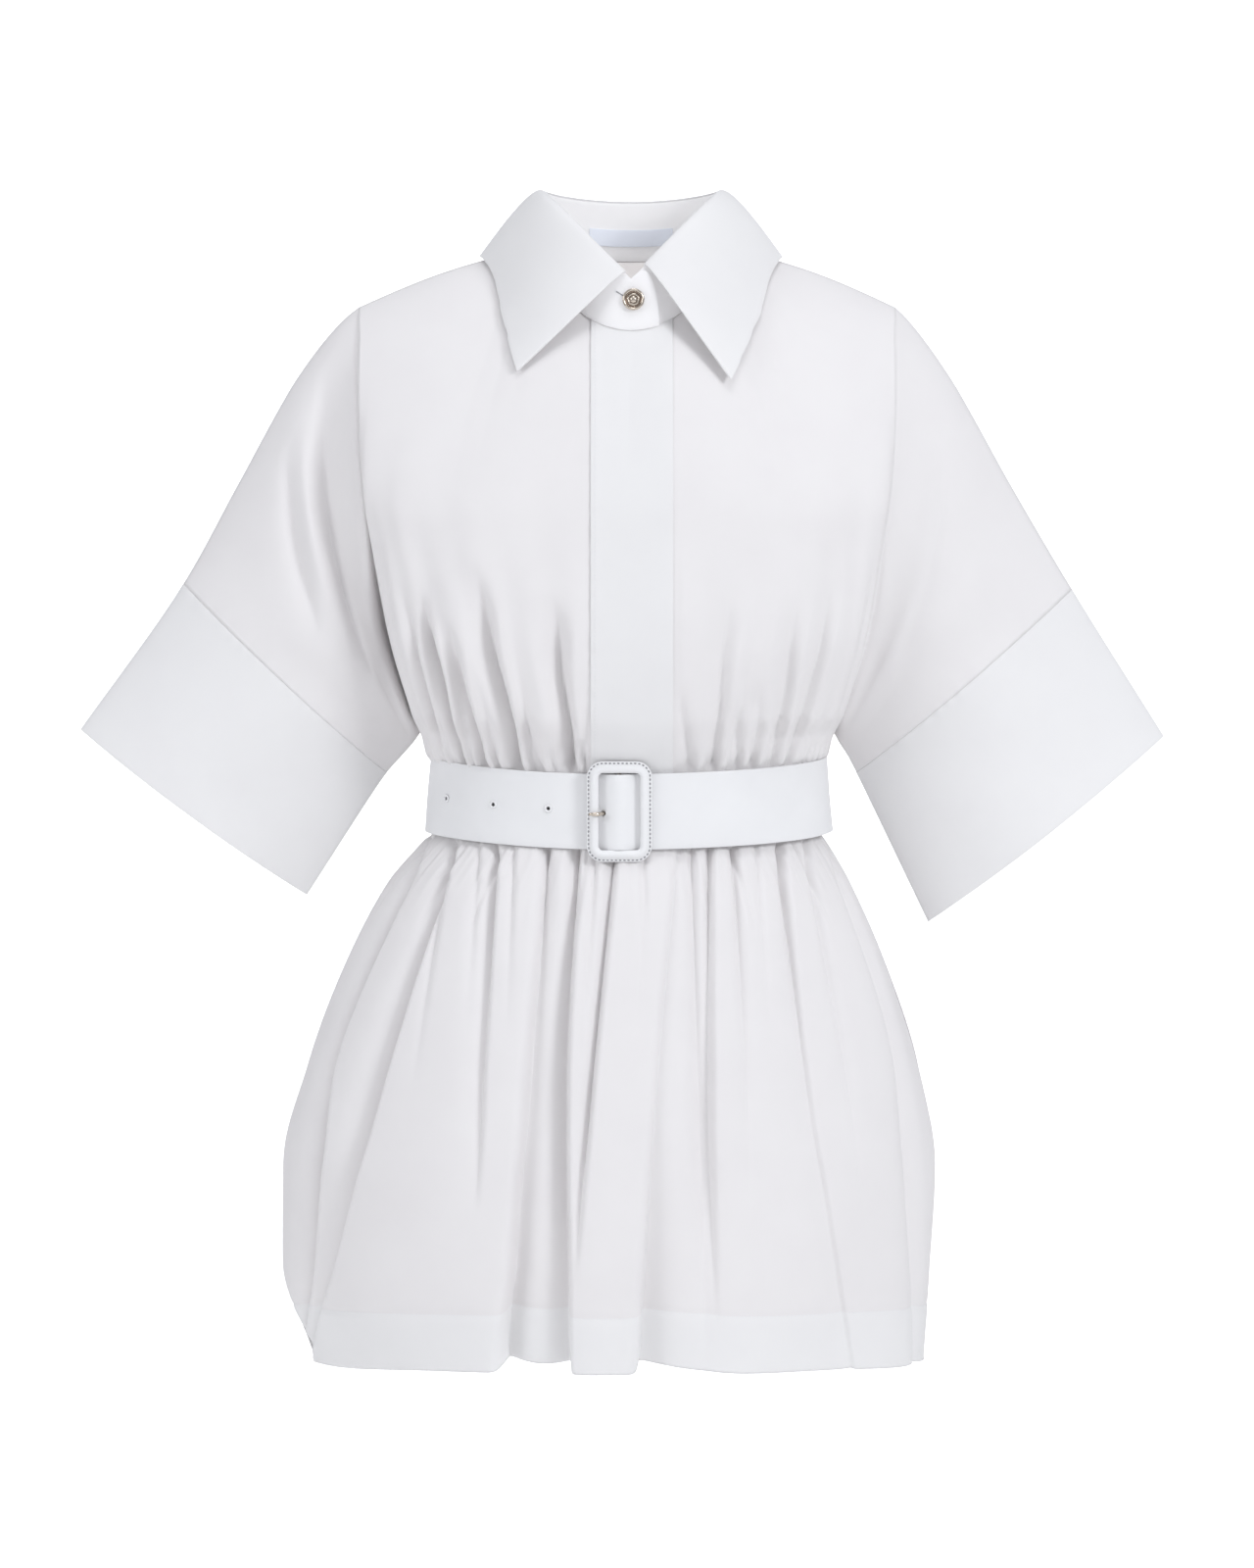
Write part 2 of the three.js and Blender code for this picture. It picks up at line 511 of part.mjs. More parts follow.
// A closed wall from a surface: its points are moved out and in by half the wall. Each edge is
// drawn back by half a seam gap, and a seam can give its own normals. sign is 1 where a step along
// the lines and then one along the rows turn towards the outside, and -1 where they turn inwards
function wallMesh({ at, lines, rows, wall, sign, lift = 0, round = false, seams = {}, drawBack = {} }) {
  const columns = lines.length;
  const count = rows.length;
  const middle = [];
  rows.forEach((v) => lines.forEach((u) => middle.push(at(u, v))));
  const normals = [];
  // The point at a place on the grid
  const spot = (i, j) => middle[j * columns + (round ? (i + columns) % columns : clamp(i, 0, columns - 1))];
  for (let j = 0; j < count; j++) {
    for (let i = 0; i < columns; i++) {
      const along = spot(i + 1, j).clone().sub(spot(i - 1, j));
      const down = spot(i, Math.min(count - 1, j + 1)).clone().sub(spot(i, Math.max(0, j - 1)));
      let n = along.cross(down).multiplyScalar(sign).normalize();
      if (j === 0 && seams.first) n = seams.first(lines[i], n);
      if (j === count - 1 && seams.last) n = seams.last(lines[i], n);
      if (i === 0 && seams.left) n = seams.left(rows[j], n);
      if (i === columns - 1 && seams.right) n = seams.right(rows[j], n);
      normals.push(n);
    }
  }
  const place = (i, j) => j * columns + i;
  const half = SEAM_GAP / 2;
  const back = { first: half, last: half, left: half, right: half, ...drawBack };
  const moved = middle.map((p) => p.clone());
  const pull = (i, j, toI, toJ, amount) => {
    const here = middle[place(i, j)];
    const direction = middle[place(toI, toJ)].clone().sub(here);
    moved[place(i, j)].addScaledVector(direction.normalize(), amount);
  };
  for (let i = 0; i < columns; i++) {
    pull(i, 0, i, 1, typeof back.first === "function" ? back.first(lines[i]) : back.first);
    pull(i, count - 1, i, count - 2, back.last);
  }
  for (let j = 0; j < count && !round; j++) {
    pull(0, j, 1, j, back.left);
    pull(columns - 1, j, columns - 2, j, back.right);
  }
  const points = [];
  for (const way of [1, -1]) {
    moved.forEach((p, k) => {
      const thick = typeof wall === "function" ? wall(rows[Math.floor(k / columns)]) : wall;
      const raise = typeof lift === "function" ? lift(lines[k % columns]) : lift;
      points.push(p.clone().addScaledVector(normals[k], raise + (way * thick) / 2));
    });
  }
  const inner = columns * count;
  const faces = [];
  const quad = (a, b, c, d) => faces.push(a, b, c, a, c, d);
  const cells = round ? columns : columns - 1;
  for (let j = 0; j < count - 1; j++) {
    for (let i = 0; i < cells; i++) {
      const k = (i + 1) % columns;
      quad(place(i, j), place(k, j), place(k, j + 1), place(i, j + 1));
      quad(inner + place(i, j), inner + place(i, j + 1), inner + place(k, j + 1), inner + place(k, j));
    }
  }
  for (let i = 0; i < cells; i++) {
    const k = (i + 1) % columns;
    quad(place(i, 0), inner + place(i, 0), inner + place(k, 0), place(k, 0));
    quad(place(k, count - 1), inner + place(k, count - 1), inner + place(i, count - 1), place(i, count - 1));
  }
  for (let j = 0; j < count - 1 && !round; j++) {
    const e = columns - 1;
    quad(place(0, j + 1), inner + place(0, j + 1), inner + place(0, j), place(0, j));
    quad(place(e, j), inner + place(e, j), inner + place(e, j + 1), place(e, j + 1));
  }
  if (sign < 0) {
    for (let i = 0; i < faces.length; i += 3) [faces[i + 1], faces[i + 2]] = [faces[i + 2], faces[i + 1]];
  }
  const geometry = new THREE.BufferGeometry();
  geometry.setAttribute("position", new THREE.Float32BufferAttribute(points.flatMap((p) => [p.x, p.y, p.z]), 3));
  geometry.setIndex(faces);
  return geometry;
}

const dress = new THREE.Group();

// Adds a named piece in one of the finishes
function add(name, geometry, finish) {
  const mesh = new THREE.Mesh(geometry, new THREE.MeshStandardMaterial(COLOURS[finish]));
  mesh.name = name;
  dress.add(mesh);
  return mesh;
}

// Manifold solids, for the pieces that need a cut or a join
function solidOf(geometry, matrix = new THREE.Matrix4()) {
  const bare = new THREE.BufferGeometry();
  bare.setAttribute("position", geometry.getAttribute("position").clone());
  bare.setIndex(geometry.getIndex());
  const merged = mergeVertices(bare.applyMatrix4(matrix), 1e-4);
  const index = merged.getIndex().array;
  const faces = [];
  for (let i = 0; i < index.length; i += 3) {
    const [a, b, c] = index.slice(i, i + 3);
    if (a !== b && b !== c && a !== c) faces.push(a, b, c);
  }
  const points = merged.getAttribute("position").array;
  return new wasm.Manifold(new wasm.Mesh({ numProp: 3, vertProperties: points, triVerts: new Uint32Array(faces) }));
}

function geometryOf(solid) {
  const mesh = solid.getMesh();
  const geometry = new THREE.BufferGeometry();
  geometry.setAttribute("position", new THREE.Float32BufferAttribute(mesh.vertProperties, 3));
  geometry.setIndex(Array.from(mesh.triVerts));
  return geometry;
}

// Bodice panels. Their lines follow the valleys of the gathers and the ridges between them
const BODICE_ROWS = [0, 0.045, 0.1, 0.17, 0.26, 0.36, 0.45, 0.54, 0.63, 0.71, 0.78, 0.84, 0.9, 0.935, 0.965, 1];

// Angles round the neck that the panels, the band and the stand share
const NECK_ANGLES = { bandRight: -26.06, rightEdge: -23.2, bandLeft: 27.04 };

// The lines of a panel: valleys of the gathers and the ridges between, each of which leaves
// its place on the waist for a place on the neckline or the shoulder seam
function panelLines(face, first, last, lowX, highX, tops) {
  const valleys = GATHERS[face].filter((g) => g.waistX > lowX && g.waistX < highX).map((g) => g.line);
  const stops = [first, ...valleys, last];
  const lines = [];
  stops.forEach((stop, i) => {
    lines.push(stop);
    if (i < stops.length - 1) lines.push((down) => (stop(down) + stops[i + 1](down)) / 2);
  });
  const places = tops(lines.length);
  return lines.map((line, i) => (down) => mix(places[i], line(down), ease(down / 0.5)));
}

// Neck places at even angles and shoulder places at even shares, from neck to armhole
const neckShare = (angle) => (Math.abs(angle) / 90) * NECK_SHARE;
function topPlaces(startAngle, count, shoulderCount) {
  const neck = range(neckShare(startAngle), NECK_SHARE, count - shoulderCount - 1);
  return [...neck, ...range(NECK_SHARE, 1, shoulderCount).slice(1)];
}

function addBodicePanel(name, face, lines) {
  const cloth = bodiceCloth(face);
  const placeOf = (u, down) => {
    const i = Math.min(lines.length - 2, Math.floor(u));
    return mix(lines[i](down), lines[i + 1](down), u - i);
  };
  const topSeam = (u) => topNormal(face, placeOf(u, 0));
  const sideSeam = (side) => (down, own) => {
    if (down > UNDERARM_DOWN) return vec(side, 0, 0).lerp(own, 0.3).normalize();
    return armholeNormal(side, face, down / UNDERARM_DOWN);
  };
  const seams = { first: topSeam };
  if (lines[0](1) < -0.99) seams.left = sideSeam(-1);
  if (lines[lines.length - 1](1) > 0.99) seams.right = sideSeam(1);
  add(name, wallMesh({
    at: (u, down) => cloth(placeOf(u, down), down), lines: range(0, lines.length - 1, lines.length - 1),
    rows: BODICE_ROWS, wall: CLOTH, sign: face, seams, drawBack: { left: 0.4, right: 0.4 },
  }), "poplin");
}

// The normals that both sides of a seam share: along the top edge, and round the armhole
function topNormal(face, across) {
  const onNeck = Math.abs(across) <= NECK_SHARE + 1e-6;
  const onShoulder = Math.abs(across) >= NECK_SHARE - 1e-6;
  const sum = bodiceNormal(face, across, 0);
  if (onShoulder) sum.add(bodiceNormal(-face, across, 0));
  if (onNeck) sum.addScaledVector(standNormal(angleRound(face, across)), onShoulder ? 2 : 1);
  return sum.normalize();
}
function armholeNormal(side, face, share) {
  const name = side < 0 ? "right" : "left";
  const sum = vec(0, 0, 0);
  const corner = share < 0.001 || share > 0.999;
  for (const way of corner ? [face, -face] : [face]) {
    sum.add(bodiceNormal(way, side, share * UNDERARM_DOWN)).add(sleeveNormal(name, way, 0, share));
  }
  return sum.normalize();
}

// The angle round the neck of a place across
const angleRound = (face, across) => {
  const turn = (Math.abs(across) / NECK_SHARE) * 90 * (Math.sign(across) || 1);
  return face < 0 ? turn : Math.sign(turn || 1) * 180 - turn;
};

function sleeveNormal(side, face, along, share) {
  const surface = (a, s) => sleeve(side, face, a, s);
  const sign = SLEEVES[side].sign;
  return normalOf(surface, along, clamp(share, 0.01, 0.99), [0, SLEEVE_END, 0, 1], face * sign);
}

// The collar stand: up 0 at the neckline, 1 at the fold line
function foldLine(angle) {
  const c = Math.cos(rad(angle));
  const s = Math.sin(rad(angle));
  const front = c > 0;
  const dip = front ? FOLD_DIP_FRONT * Math.pow(1 - Math.abs(s), 1.05) : FOLD_DIP_BACK * Math.pow(-c, 1.5);
  return vec(NECK_SHIFT + FOLD_SIDE * s, front ? -FOLD_FRONT * c : -FOLD_BACK * c, FOLD_SIDE_Z - dip);
}
const stand = (angle, up) => neckline(angle).lerp(foldLine(angle), up);
const standNormal = (angle, up = 0) => normalOf(stand, angle, up, [-400, 400, 0, 1], 1);
// The buttoned end stands proud of the end beneath it
const standLift = (angle) => STAND_LAP * ease((angle + 42) / 24);
// The buttoned end is rounded off
const tabHeight = (angle) => {
  const t = clamp((angle - 3) / (STAND_TAB - 3), 0, 1);
  return Math.max(0.14, Math.sqrt(Math.max(0, 1 - t * t * 0.985)));
};

// How many lines of each panel end on the neckline
const linesOf = (face, low, high) => 2 * GATHERS[face].filter((g) => g.waistX > low && g.waistX < high).length + 3;
const NECK_LINES = {
  right: linesOf(-1, -200, BAND_LEFT_X) - 5,
  left: linesOf(-1, BAND_RIGHT_X, 200) - 5,
  back: linesOf(1, -200, 200) - 10,
};
const STAND_FRONT_RIGHT = [STAND_TAB, 15.8, 13.35, 8, 4, 0.43, -12.47, -19.47];
function standAngles() {
  const right = range(NECK_ANGLES.rightEdge, -90, NECK_LINES.right - 1);
  const back = range(-90, -270, NECK_LINES.back - 1).slice(1);
  const left = range(-270, -360 + NECK_ANGLES.bandLeft, NECK_LINES.left - 1).slice(1);
  const under = [-346.6, -359.6, -372.5, -360 - STAND_UNDER];
  return [...STAND_FRONT_RIGHT, NECK_ANGLES.bandRight, ...right.slice(1), ...back, ...left, ...under];
}

function addStand() {
  const at = (angle, up) => stand(angle, up * tabHeight(angle));
  const first = (angle) => {
    const turn = ((angle % 360) + 540) % 360 - 180;
    const face = Math.abs(turn) <= 90 ? -1 : 1;
    const share = (face < 0 ? Math.abs(turn) : 180 - Math.abs(turn)) / 90;
    return topNormal(face, Math.sign(turn || 1) * share * NECK_SHARE);
  };
  add("collar_stand", wallMesh({
    at, lines: standAngles(), rows: [0, 0.5, 1], wall: STAND_WALL, sign: -1, lift: standLift,
    seams: { first }, drawBack: { first: 0.8 },
  }), "poplin");
}

// Turns a wall's faces round where its lines ran the other way
function flipIfInside(geometry) {
  const index = geometry.getIndex();
  const p = geometry.getAttribute("position");
  let volume = 0;
  const corner = (i) => vec(p.getX(i), p.getY(i), p.getZ(i));
  for (let i = 0; i < index.count; i += 3) {
    const [a, b, c] = [0, 1, 2].map((k) => corner(index.getX(i + k)));
    volume += a.dot(b.cross(c));
  }
  if (volume < 0) {
    const faces = Array.from(index.array);
    for (let i = 0; i < faces.length; i += 3) [faces[i + 1], faces[i + 2]] = [faces[i + 2], faces[i + 1]];
    geometry.setIndex(faces);
  }
  return geometry;
}

// The nearest place on the plain bodice, so that what lies on it can be lifted clear of it
const SKIN = [-1, 1].flatMap((face) =>
  range(-1, 1, 60).flatMap((across) => range(0, 0.4, 20).map((down) => ({
    point: bodice(face, across, down), out: bodiceNormal(face, across, down),
  }))));
function settle(point, clearance) {
  let near = SKIN[0];
  let least = Infinity;
  for (const spot of SKIN) {
    const away = spot.point.distanceToSquared(point);
    if (away < least) [least, near] = [away, spot];
  }
  const height = point.clone().sub(near.point).dot(near.out);
  return height < clearance ? point.clone().addScaledVector(near.out, clearance - height) : point;
}

// The collar leaf falls from the fold line to an edge that lies just off the bodice
function leaf(turn, fall) {
  const face = turn < -90 && turn > -270 ? 1 : -1;
  const across = read(LEAF_EDGE, "turn", "across", turn);
  const down = Math.max(0, read(LEAF_EDGE, "turn", "down", turn));
  const lift = read(LEAF_EDGE, "turn", "lift", turn);
  const out = bodiceNormal(face, across, down);
  if (down < 0.03) out.lerp(vec(0, 0, 1), 1 - down / 0.03).normalize();
  const edge = bodice(face, across, down).addScaledVector(out, lift);
  const outward = standNormal(turn, 1);
  const up = foldLine(turn).sub(neckline(turn)).normalize();
  const start = foldLine(turn).addScaledVector(outward, standLift(turn) - 0.3);
  start.addScaledVector(up, COLLAR_WALL / 2 + SEAM_GAP + 1.2);
  const roll = start.clone().addScaledVector(outward, LEAF_BELLY).addScaledVector(up, 4);
  const middle = start.clone().lerp(edge, 0.45).addScaledVector(outward, LEAF_BELLY);
  const a = start.clone().lerp(roll, fall);
  const b = roll.clone().lerp(middle, fall);
  const c = middle.clone().lerp(edge, fall);
  const point = a.lerp(b, fall).lerp(b.clone().lerp(c, fall), fall);
  return fall < 0.2 ? point : settle(point, mix(2.6, lift, ease((fall - 0.2) / 0.5)));
}

function addLeaf() {
  const turns = [LEAF_START, -12, -21, -31, -42, -54, -67, -80, -93, -108, -124, -142, -161, -180,
    -199, -218, -236, -252, -267, -280, -292, -304, -316, -327, -337, -345, LEAF_END];
  add("collar_leaf", wallMesh({
    at: leaf, lines: turns, rows: [0, 0.12, 0.3, 0.55, 0.8, 1], wall: COLLAR_WALL, sign: 1,
  }), "poplin");
}

// The button band lies over both fronts
function addButtonBand() {
  const cloth = bodiceCloth(-1);
  const at = (x, down) => cloth(acrossAt(-1, x, down), down);
  const top = (x) => topNormal(-1, acrossAt(-1, x, 0));
  add("button_band", wallMesh({
    at, lines: BAND_LINES, rows: BODICE_ROWS, wall: BAND_WALL, sign: -1,
    lift: CLOTH / 2 + SEAM_GAP + BAND_WALL / 2, seams: { first: top },
  }), "poplin");
}

// Sleeves and their bands are tubes; the front face runs down, the back face runs up again
function addSleeve(side) {
  const { sign } = SLEEVES[side];
  const shares = BODICE_ROWS.filter((down) => down <= UNDERARM_DOWN + 1e-9).map((down) => down / UNDERARM_DOWN);
  const round = [...shares, ...shares.slice(1, -1).map((s) => 2 - s).reverse()];
  const at = (turn, along) => (turn <= 1 ? sleeve(side, -1, along, turn) : sleeve(side, 1, along, 2 - turn));
  const wrapped = (turn, along) => at(((turn % 2) + 2) % 2, along);
  const seams = {
    first: (turn) => armholeNormal(sign, turn <= 1 ? -1 : 1, turn <= 1 ? turn : 2 - turn),
  };
  const make = (name, rows, wall, ownSeams, drawBack) => add(name, wallMesh({
    at: wrapped, lines: round, rows, wall, sign, round: true, seams: ownSeams, drawBack,
  }), "poplin");
  const rows = [0, 0.06, 0.14, 0.24, 0.36, 0.52, 0.75, BAND_SEAM];
  const clear = (turn) => 0.6 + 1.8 * ease((Math.min(turn, 2 - turn) - 0.8) / 0.12);
  make(`sleeve_${side}`, rows, CLOTH, seams, { first: clear });
  make(`sleeve_band_${side}`, [BAND_SEAM, 1.25, SLEEVE_END], CLOTH + 0.4, {}, { last: 0 });
}

// Skirt faces, with lines in each valley, on each ridge and on the flanks between
function addSkirt(name, face) {
  const valleys = SKIRT_FOLDS[face];
  const stops = [() => -1, ...valleys.map((fold) => fold.turn), () => 1];
  const lines = [];
  stops.forEach((stop, i) => {
    lines.push(stop);
    if (i === stops.length - 1) return;
    const shares = i === 0 || i === stops.length - 2 ? [0.5] : [0.2, 0.5, 0.8];
    shares.forEach((share) => lines.push((drop) => mix(stop(drop), stops[i + 1](drop), share)));
  });
  const at = (u, drop) => {
    const i = Math.min(lines.length - 2, Math.floor(u));
    return skirt(face, mix(lines[i](drop), lines[i + 1](drop), u - i), drop);
  };
  const side = (way) => (drop, own) => vec(way, 0, 0).lerp(own, 0.25).normalize();
  const rows = [0, 0.07, 0.092, 0.15, 0.25, 0.36, 0.48, 0.6, 0.73, 0.83, HEM_START, HEM_START + 0.006, 1];
  add(name, wallMesh({
    at, lines: range(0, lines.length - 1, lines.length - 1), rows,
    wall: (drop) => (drop > HEM_START + 0.001 ? HEM_WALL : CLOTH), sign: face,
    seams: { left: side(-1), right: side(1) }, drawBack: { last: 0 },
  }), "poplin");
}

// The belt's centre line: once round, over the buckle's bar, and on as the tail
function beltLine(angle) {
  const turn = rad(angle);
  const c = Math.cos(turn);
  const s = Math.sin(turn);
  const second = ease((angle - 350) / 18);
  const overBar = (BELT_HALF * s - BUCKLE_X) / 11;
  const hump = angle > 300 && angle < 400 ? STRAP_OVER_BAR * Math.exp(-overBar * overBar) : 0;
  const lap = BELT_LAP * second;
  return vec((BELT_HALF + lap) * s, -((c > 0 ? BELT_FRONT : BELT_BACK) + lap + Math.max(0, hump - lap)) * c, 0);
}

function addBelt() {
  const nearBuckle = [342, 345, 348, 351, 353, 355, 357, 359, 361, 363, 366, 369];
  const angles = [BELT_START, ...range(8, 336, 36), ...nearBuckle, ...range(378, 462, 9), 467, 470, BELT_END];
  const tip = (angle) => {
    const t = clamp((angle - 462) / (BELT_END - 462), 0, 1);
    return 1 - 0.42 * t * t;
  };
  const at = (angle, up) => {
    const point = beltLine(angle);
    point.z = BELT_Z + (up - 0.5) * BELT_HEIGHT * tip(angle);
    return point;
  };
  const strap = flipIfInside(wallMesh({
    at, lines: angles, rows: [0, 1], wall: STRAP_WALL, sign: 1,
    drawBack: { first: 0, last: 0, left: 0, right: 0 },
  }));
  let solid = solidOf(strap);
  const drill = (angle, radius, z) => {
    const place = beltLine(angle);
    const turn = new THREE.Matrix4().makeRotationZ(Math.atan2(place.x / BELT_HALF, -place.y / BELT_FRONT));
    const matrix = turn.setPosition(place.x, place.y, z);
    const hole = solidOf(new THREE.CylinderGeometry(radius, radius, 8, 12), matrix);
    solid = solid.subtract(hole);
  };
  HOLE_ANGLES.forEach((angle) => drill(360 + angle, HOLE_RADIUS, BELT_Z + 1));
  drill(360 + THREE.MathUtils.radToDeg(Math.asin((BUCKLE_X - 7.9) / BELT_HALF)), PRONG_HOLE_RADIUS, PRONG_Z);
  add("belt_strap", geometryOf(solid), "belt");
}

function roundedRect(width, height, radius, path = new THREE.Shape()) {
  const [w, h] = [width / 2, height / 2];
  path.moveTo(-w + radius, -h).lineTo(w - radius, -h).absarc(w - radius, -h + radius, radius, -Math.PI / 2, 0);
  path.lineTo(w, h - radius).absarc(w - radius, h - radius, radius, 0, Math.PI / 2);
  path.lineTo(-w + radius, h).absarc(-w + radius, h - radius, radius, Math.PI / 2, Math.PI);
  path.lineTo(-w, -h + radius).absarc(-w + radius, -h + radius, radius, Math.PI, 1.5 * Math.PI);
  return path;
}

// The covered buckle: a flat rim, a raised ring inside it, and the bar that the strap crosses
function addBuckle() {
  const upright = new THREE.Matrix4().makeRotationX(Math.PI / 2);
  const layer = (width, height, corner, depth, front) => {
    const shape = roundedRect(width, height, corner);
    const opening = roundedRect(BUCKLE_OPENING_WIDTH, BUCKLE_OPENING_HEIGHT, 3, new THREE.Path());
    shape.holes.push(opening);
    const geometry = new THREE.ExtrudeGeometry(shape, { depth, bevelEnabled: false, curveSegments: 5 });
    const matrix = new THREE.Matrix4().makeTranslation(BUCKLE_X, BUCKLE_Y - front, BELT_Z).multiply(upright);
    return solidOf(geometry, matrix);
  };
  const half = BUCKLE_THICK / 2;
  const rim = layer(BUCKLE_WIDTH, BUCKLE_HEIGHT, BUCKLE_CORNER, 2.6, -half);
  const ring = layer(BUCKLE_WIDTH - 5, BUCKLE_HEIGHT - 5, BUCKLE_CORNER - 2, BUCKLE_THICK, -half);
  const barGeometry = new THREE.CylinderGeometry(BAR_RADIUS, BAR_RADIUS, BUCKLE_OPENING_HEIGHT + 5, 10);
  const bar = solidOf(barGeometry, upright.clone().setPosition(BUCKLE_X, BAR_Y, BELT_Z));
  add("buckle_frame", geometryOf(rim.add(ring).add(bar)), "belt");
}

// The prong leaves the bar, comes up through the strap and rests on the frame's side
function addProng() {
  const path = new THREE.CatmullRomCurve3([
    vec(BUCKLE_X - 3.1, BAR_Y + 0.3, PRONG_Z), vec(BUCKLE_X - 6.5, BAR_Y + 1.4, PRONG_Z),
    vec(BUCKLE_X - 8.1, BAR_Y - 1, PRONG_Z), vec(BUCKLE_X - 10, BAR_Y - 3.6, PRONG_Z),
    vec(BUCKLE_X - 12.6, BAR_Y - 6.6, PRONG_Z), vec(BUCKLE_X - 15, BAR_Y - 7.3, PRONG_Z),
    vec(BUCKLE_X - 20, BAR_Y - 7.3, PRONG_Z),
  ]);
  const section = new THREE.Shape().absarc(0, 0, PRONG_RADIUS, 0, 2 * Math.PI);
  const geometry = new THREE.ExtrudeGeometry(section, { steps: 12, curveSegments: 3, extrudePath: path });
  add("prong", geometryOf(solidOf(geometry)), "metal");
}

// A flat ring round each free hole in the strap
function addEyelets() {
  const profile = [[1.35, 0], [2.7, 0], [2.7, 0.35], [2.3, 0.7], [1.7, 0.7], [1.35, 0.35], [1.35, 0]];
  const points = profile.map(([r, h]) => new THREE.Vector2(r, h));
  HOLE_ANGLES.forEach((angle, i) => {
    const centre = beltLine(360 + angle);
    const out = vec(centre.x / (BELT_HALF * BELT_HALF), centre.y / (BELT_FRONT * BELT_FRONT), 0).normalize();
    const geometry = new THREE.LatheGeometry(points, 14);
    geometry.applyQuaternion(new THREE.Quaternion().setFromUnitVectors(vec(0, 1, 0), out));
    const seat = centre.addScaledVector(out, STRAP_WALL / 2 + SEAM_GAP);
    geometry.translate(seat.x, seat.y, BELT_Z + 1);
    add(`eyelet_${i + 1}`, flipIfInside(geometryOf(solidOf(geometry))), "belt");
  });
}

// A plain domed metal button with a raised rim and a sunk ring
function addButton() {
  const profile = [
    [0, -0.2], [4.5, -0.2], [BUTTON_RADIUS - 0.6, 0.4], [BUTTON_RADIUS, 1.2], [BUTTON_RADIUS - 0.4, 2.1],
    [BUTTON_RADIUS - 1.2, 2.4], [BUTTON_RADIUS - 2, 2.1], [4.4, 1.5], [3.9, 1.5], [3.4, 2.3], [2, 2.8], [0, 2.9],
  ];
  const geometry = new THREE.LatheGeometry(profile.map(([r, h]) => new THREE.Vector2(r, h)), 20);
  const out = standNormal(BUTTON_TURN, BUTTON_UP).setX(0).normalize();
  if (out.y > 0) out.negate();
  geometry.applyQuaternion(new THREE.Quaternion().setFromUnitVectors(vec(0, 1, 0), out));
  const lift = STAND_LAP + STAND_WALL / 2 + SEAM_GAP + 0.6;
  const seat = stand(BUTTON_TURN, BUTTON_UP).addScaledVector(out, lift);
  geometry.translate(seat.x, seat.y, seat.z);
  add("neck_button", flipIfInside(geometryOf(solidOf(geometry))), "metal");
}

// A bare woven label on the inside of the stand at the nape
function addLabel() {
  const geometry = wallMesh({
    at: stand, lines: range(-180 - LABEL_DEGREES, -180 + LABEL_DEGREES, 6), rows: [LABEL_LOW, LABEL_HIGH],
    wall: LABEL_WALL, sign: 1, lift: -(STAND_WALL / 2 + SEAM_GAP + LABEL_WALL / 2 + 0.3),
    drawBack: { first: 0, last: 0 },
  });
  add("neck_label", flipIfInside(geometry), "label");
}

const constant = (value) => () => value;
const edgeLine = (x) => (down) => acrossAt(-1, x, down);
const rightTops = (count) => topPlaces(NECK_ANGLES.rightEdge, count, 5).reverse().map((share) => -share);
addBodicePanel("front_right", -1,
  panelLines(-1, constant(-1), edgeLine(RIGHT_FRONT_EDGE_X), -200, BAND_LEFT_X, rightTops));
const underBand = BAND_LINES.slice(1, -1).map(edgeLine);
const leftTops = (count) => topPlaces(NECK_ANGLES.bandLeft, count, 5);
addBodicePanel("front_left", -1,
  [...underBand, ...panelLines(-1, edgeLine(BAND_RIGHT_X), constant(1), BAND_RIGHT_X, 200, leftTops)]);
const backTops = (count) => {
  const neck = range(-NECK_SHARE, NECK_SHARE, count - 11);
  const shoulder = range(NECK_SHARE, 1, 5).slice(1);
  return [...shoulder.map((share) => -share).reverse(), ...neck, ...shoulder];
};
addBodicePanel("back", 1, panelLines(1, constant(-1), constant(1), -200, 200, backTops));
addButtonBand();
addStand();
addLeaf();
addSleeve("right");
addSleeve("left");
addSkirt("skirt_front", -1);
addSkirt("skirt_back", 1);
addBelt();
addBuckle();
addProng();
addEyelets();
addButton();
addLabel();

export default dress;
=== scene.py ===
"""A belted shirt dress of white cotton poplin, filled out as if worn, with its sewing, belt and buckle.

Every panel lies on the form that its solid has in the frame, with finer folds and the sewing added.
Sizes are in millimetres until a mesh is made. The front faces -Y and the wearer's right is at -X.
"""

import logging
import math
from collections.abc import Callable, Sequence
from dataclasses import dataclass, field
from enum import Enum

import bmesh
import bpy
import numpy as np
from mathutils import Matrix, Vector


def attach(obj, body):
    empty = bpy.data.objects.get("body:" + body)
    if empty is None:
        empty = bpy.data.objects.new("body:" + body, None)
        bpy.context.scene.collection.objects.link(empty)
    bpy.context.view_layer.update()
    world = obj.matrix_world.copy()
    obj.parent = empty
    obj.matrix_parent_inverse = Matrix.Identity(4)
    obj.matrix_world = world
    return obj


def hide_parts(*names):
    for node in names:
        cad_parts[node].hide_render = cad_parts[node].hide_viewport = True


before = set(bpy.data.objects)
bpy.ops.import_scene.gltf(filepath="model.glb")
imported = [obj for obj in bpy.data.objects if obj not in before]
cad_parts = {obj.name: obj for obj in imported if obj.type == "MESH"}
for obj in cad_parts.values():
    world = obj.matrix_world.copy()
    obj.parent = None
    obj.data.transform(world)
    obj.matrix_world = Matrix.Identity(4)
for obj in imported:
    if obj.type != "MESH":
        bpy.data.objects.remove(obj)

LOG = logging.getLogger("shirt_dress")
MM = 0.001
WAIST_Z = -399
PRONG_Z = -400
SKIRT_LENGTH = 412
FORWARD = (0.0, -1.0, 0.0)
LEVEL = (1.0, 1.0, 0.0)
Array = np.ndarray
Triple = tuple[float, float, float]
Surface = Callable[[Array, Array], Array]


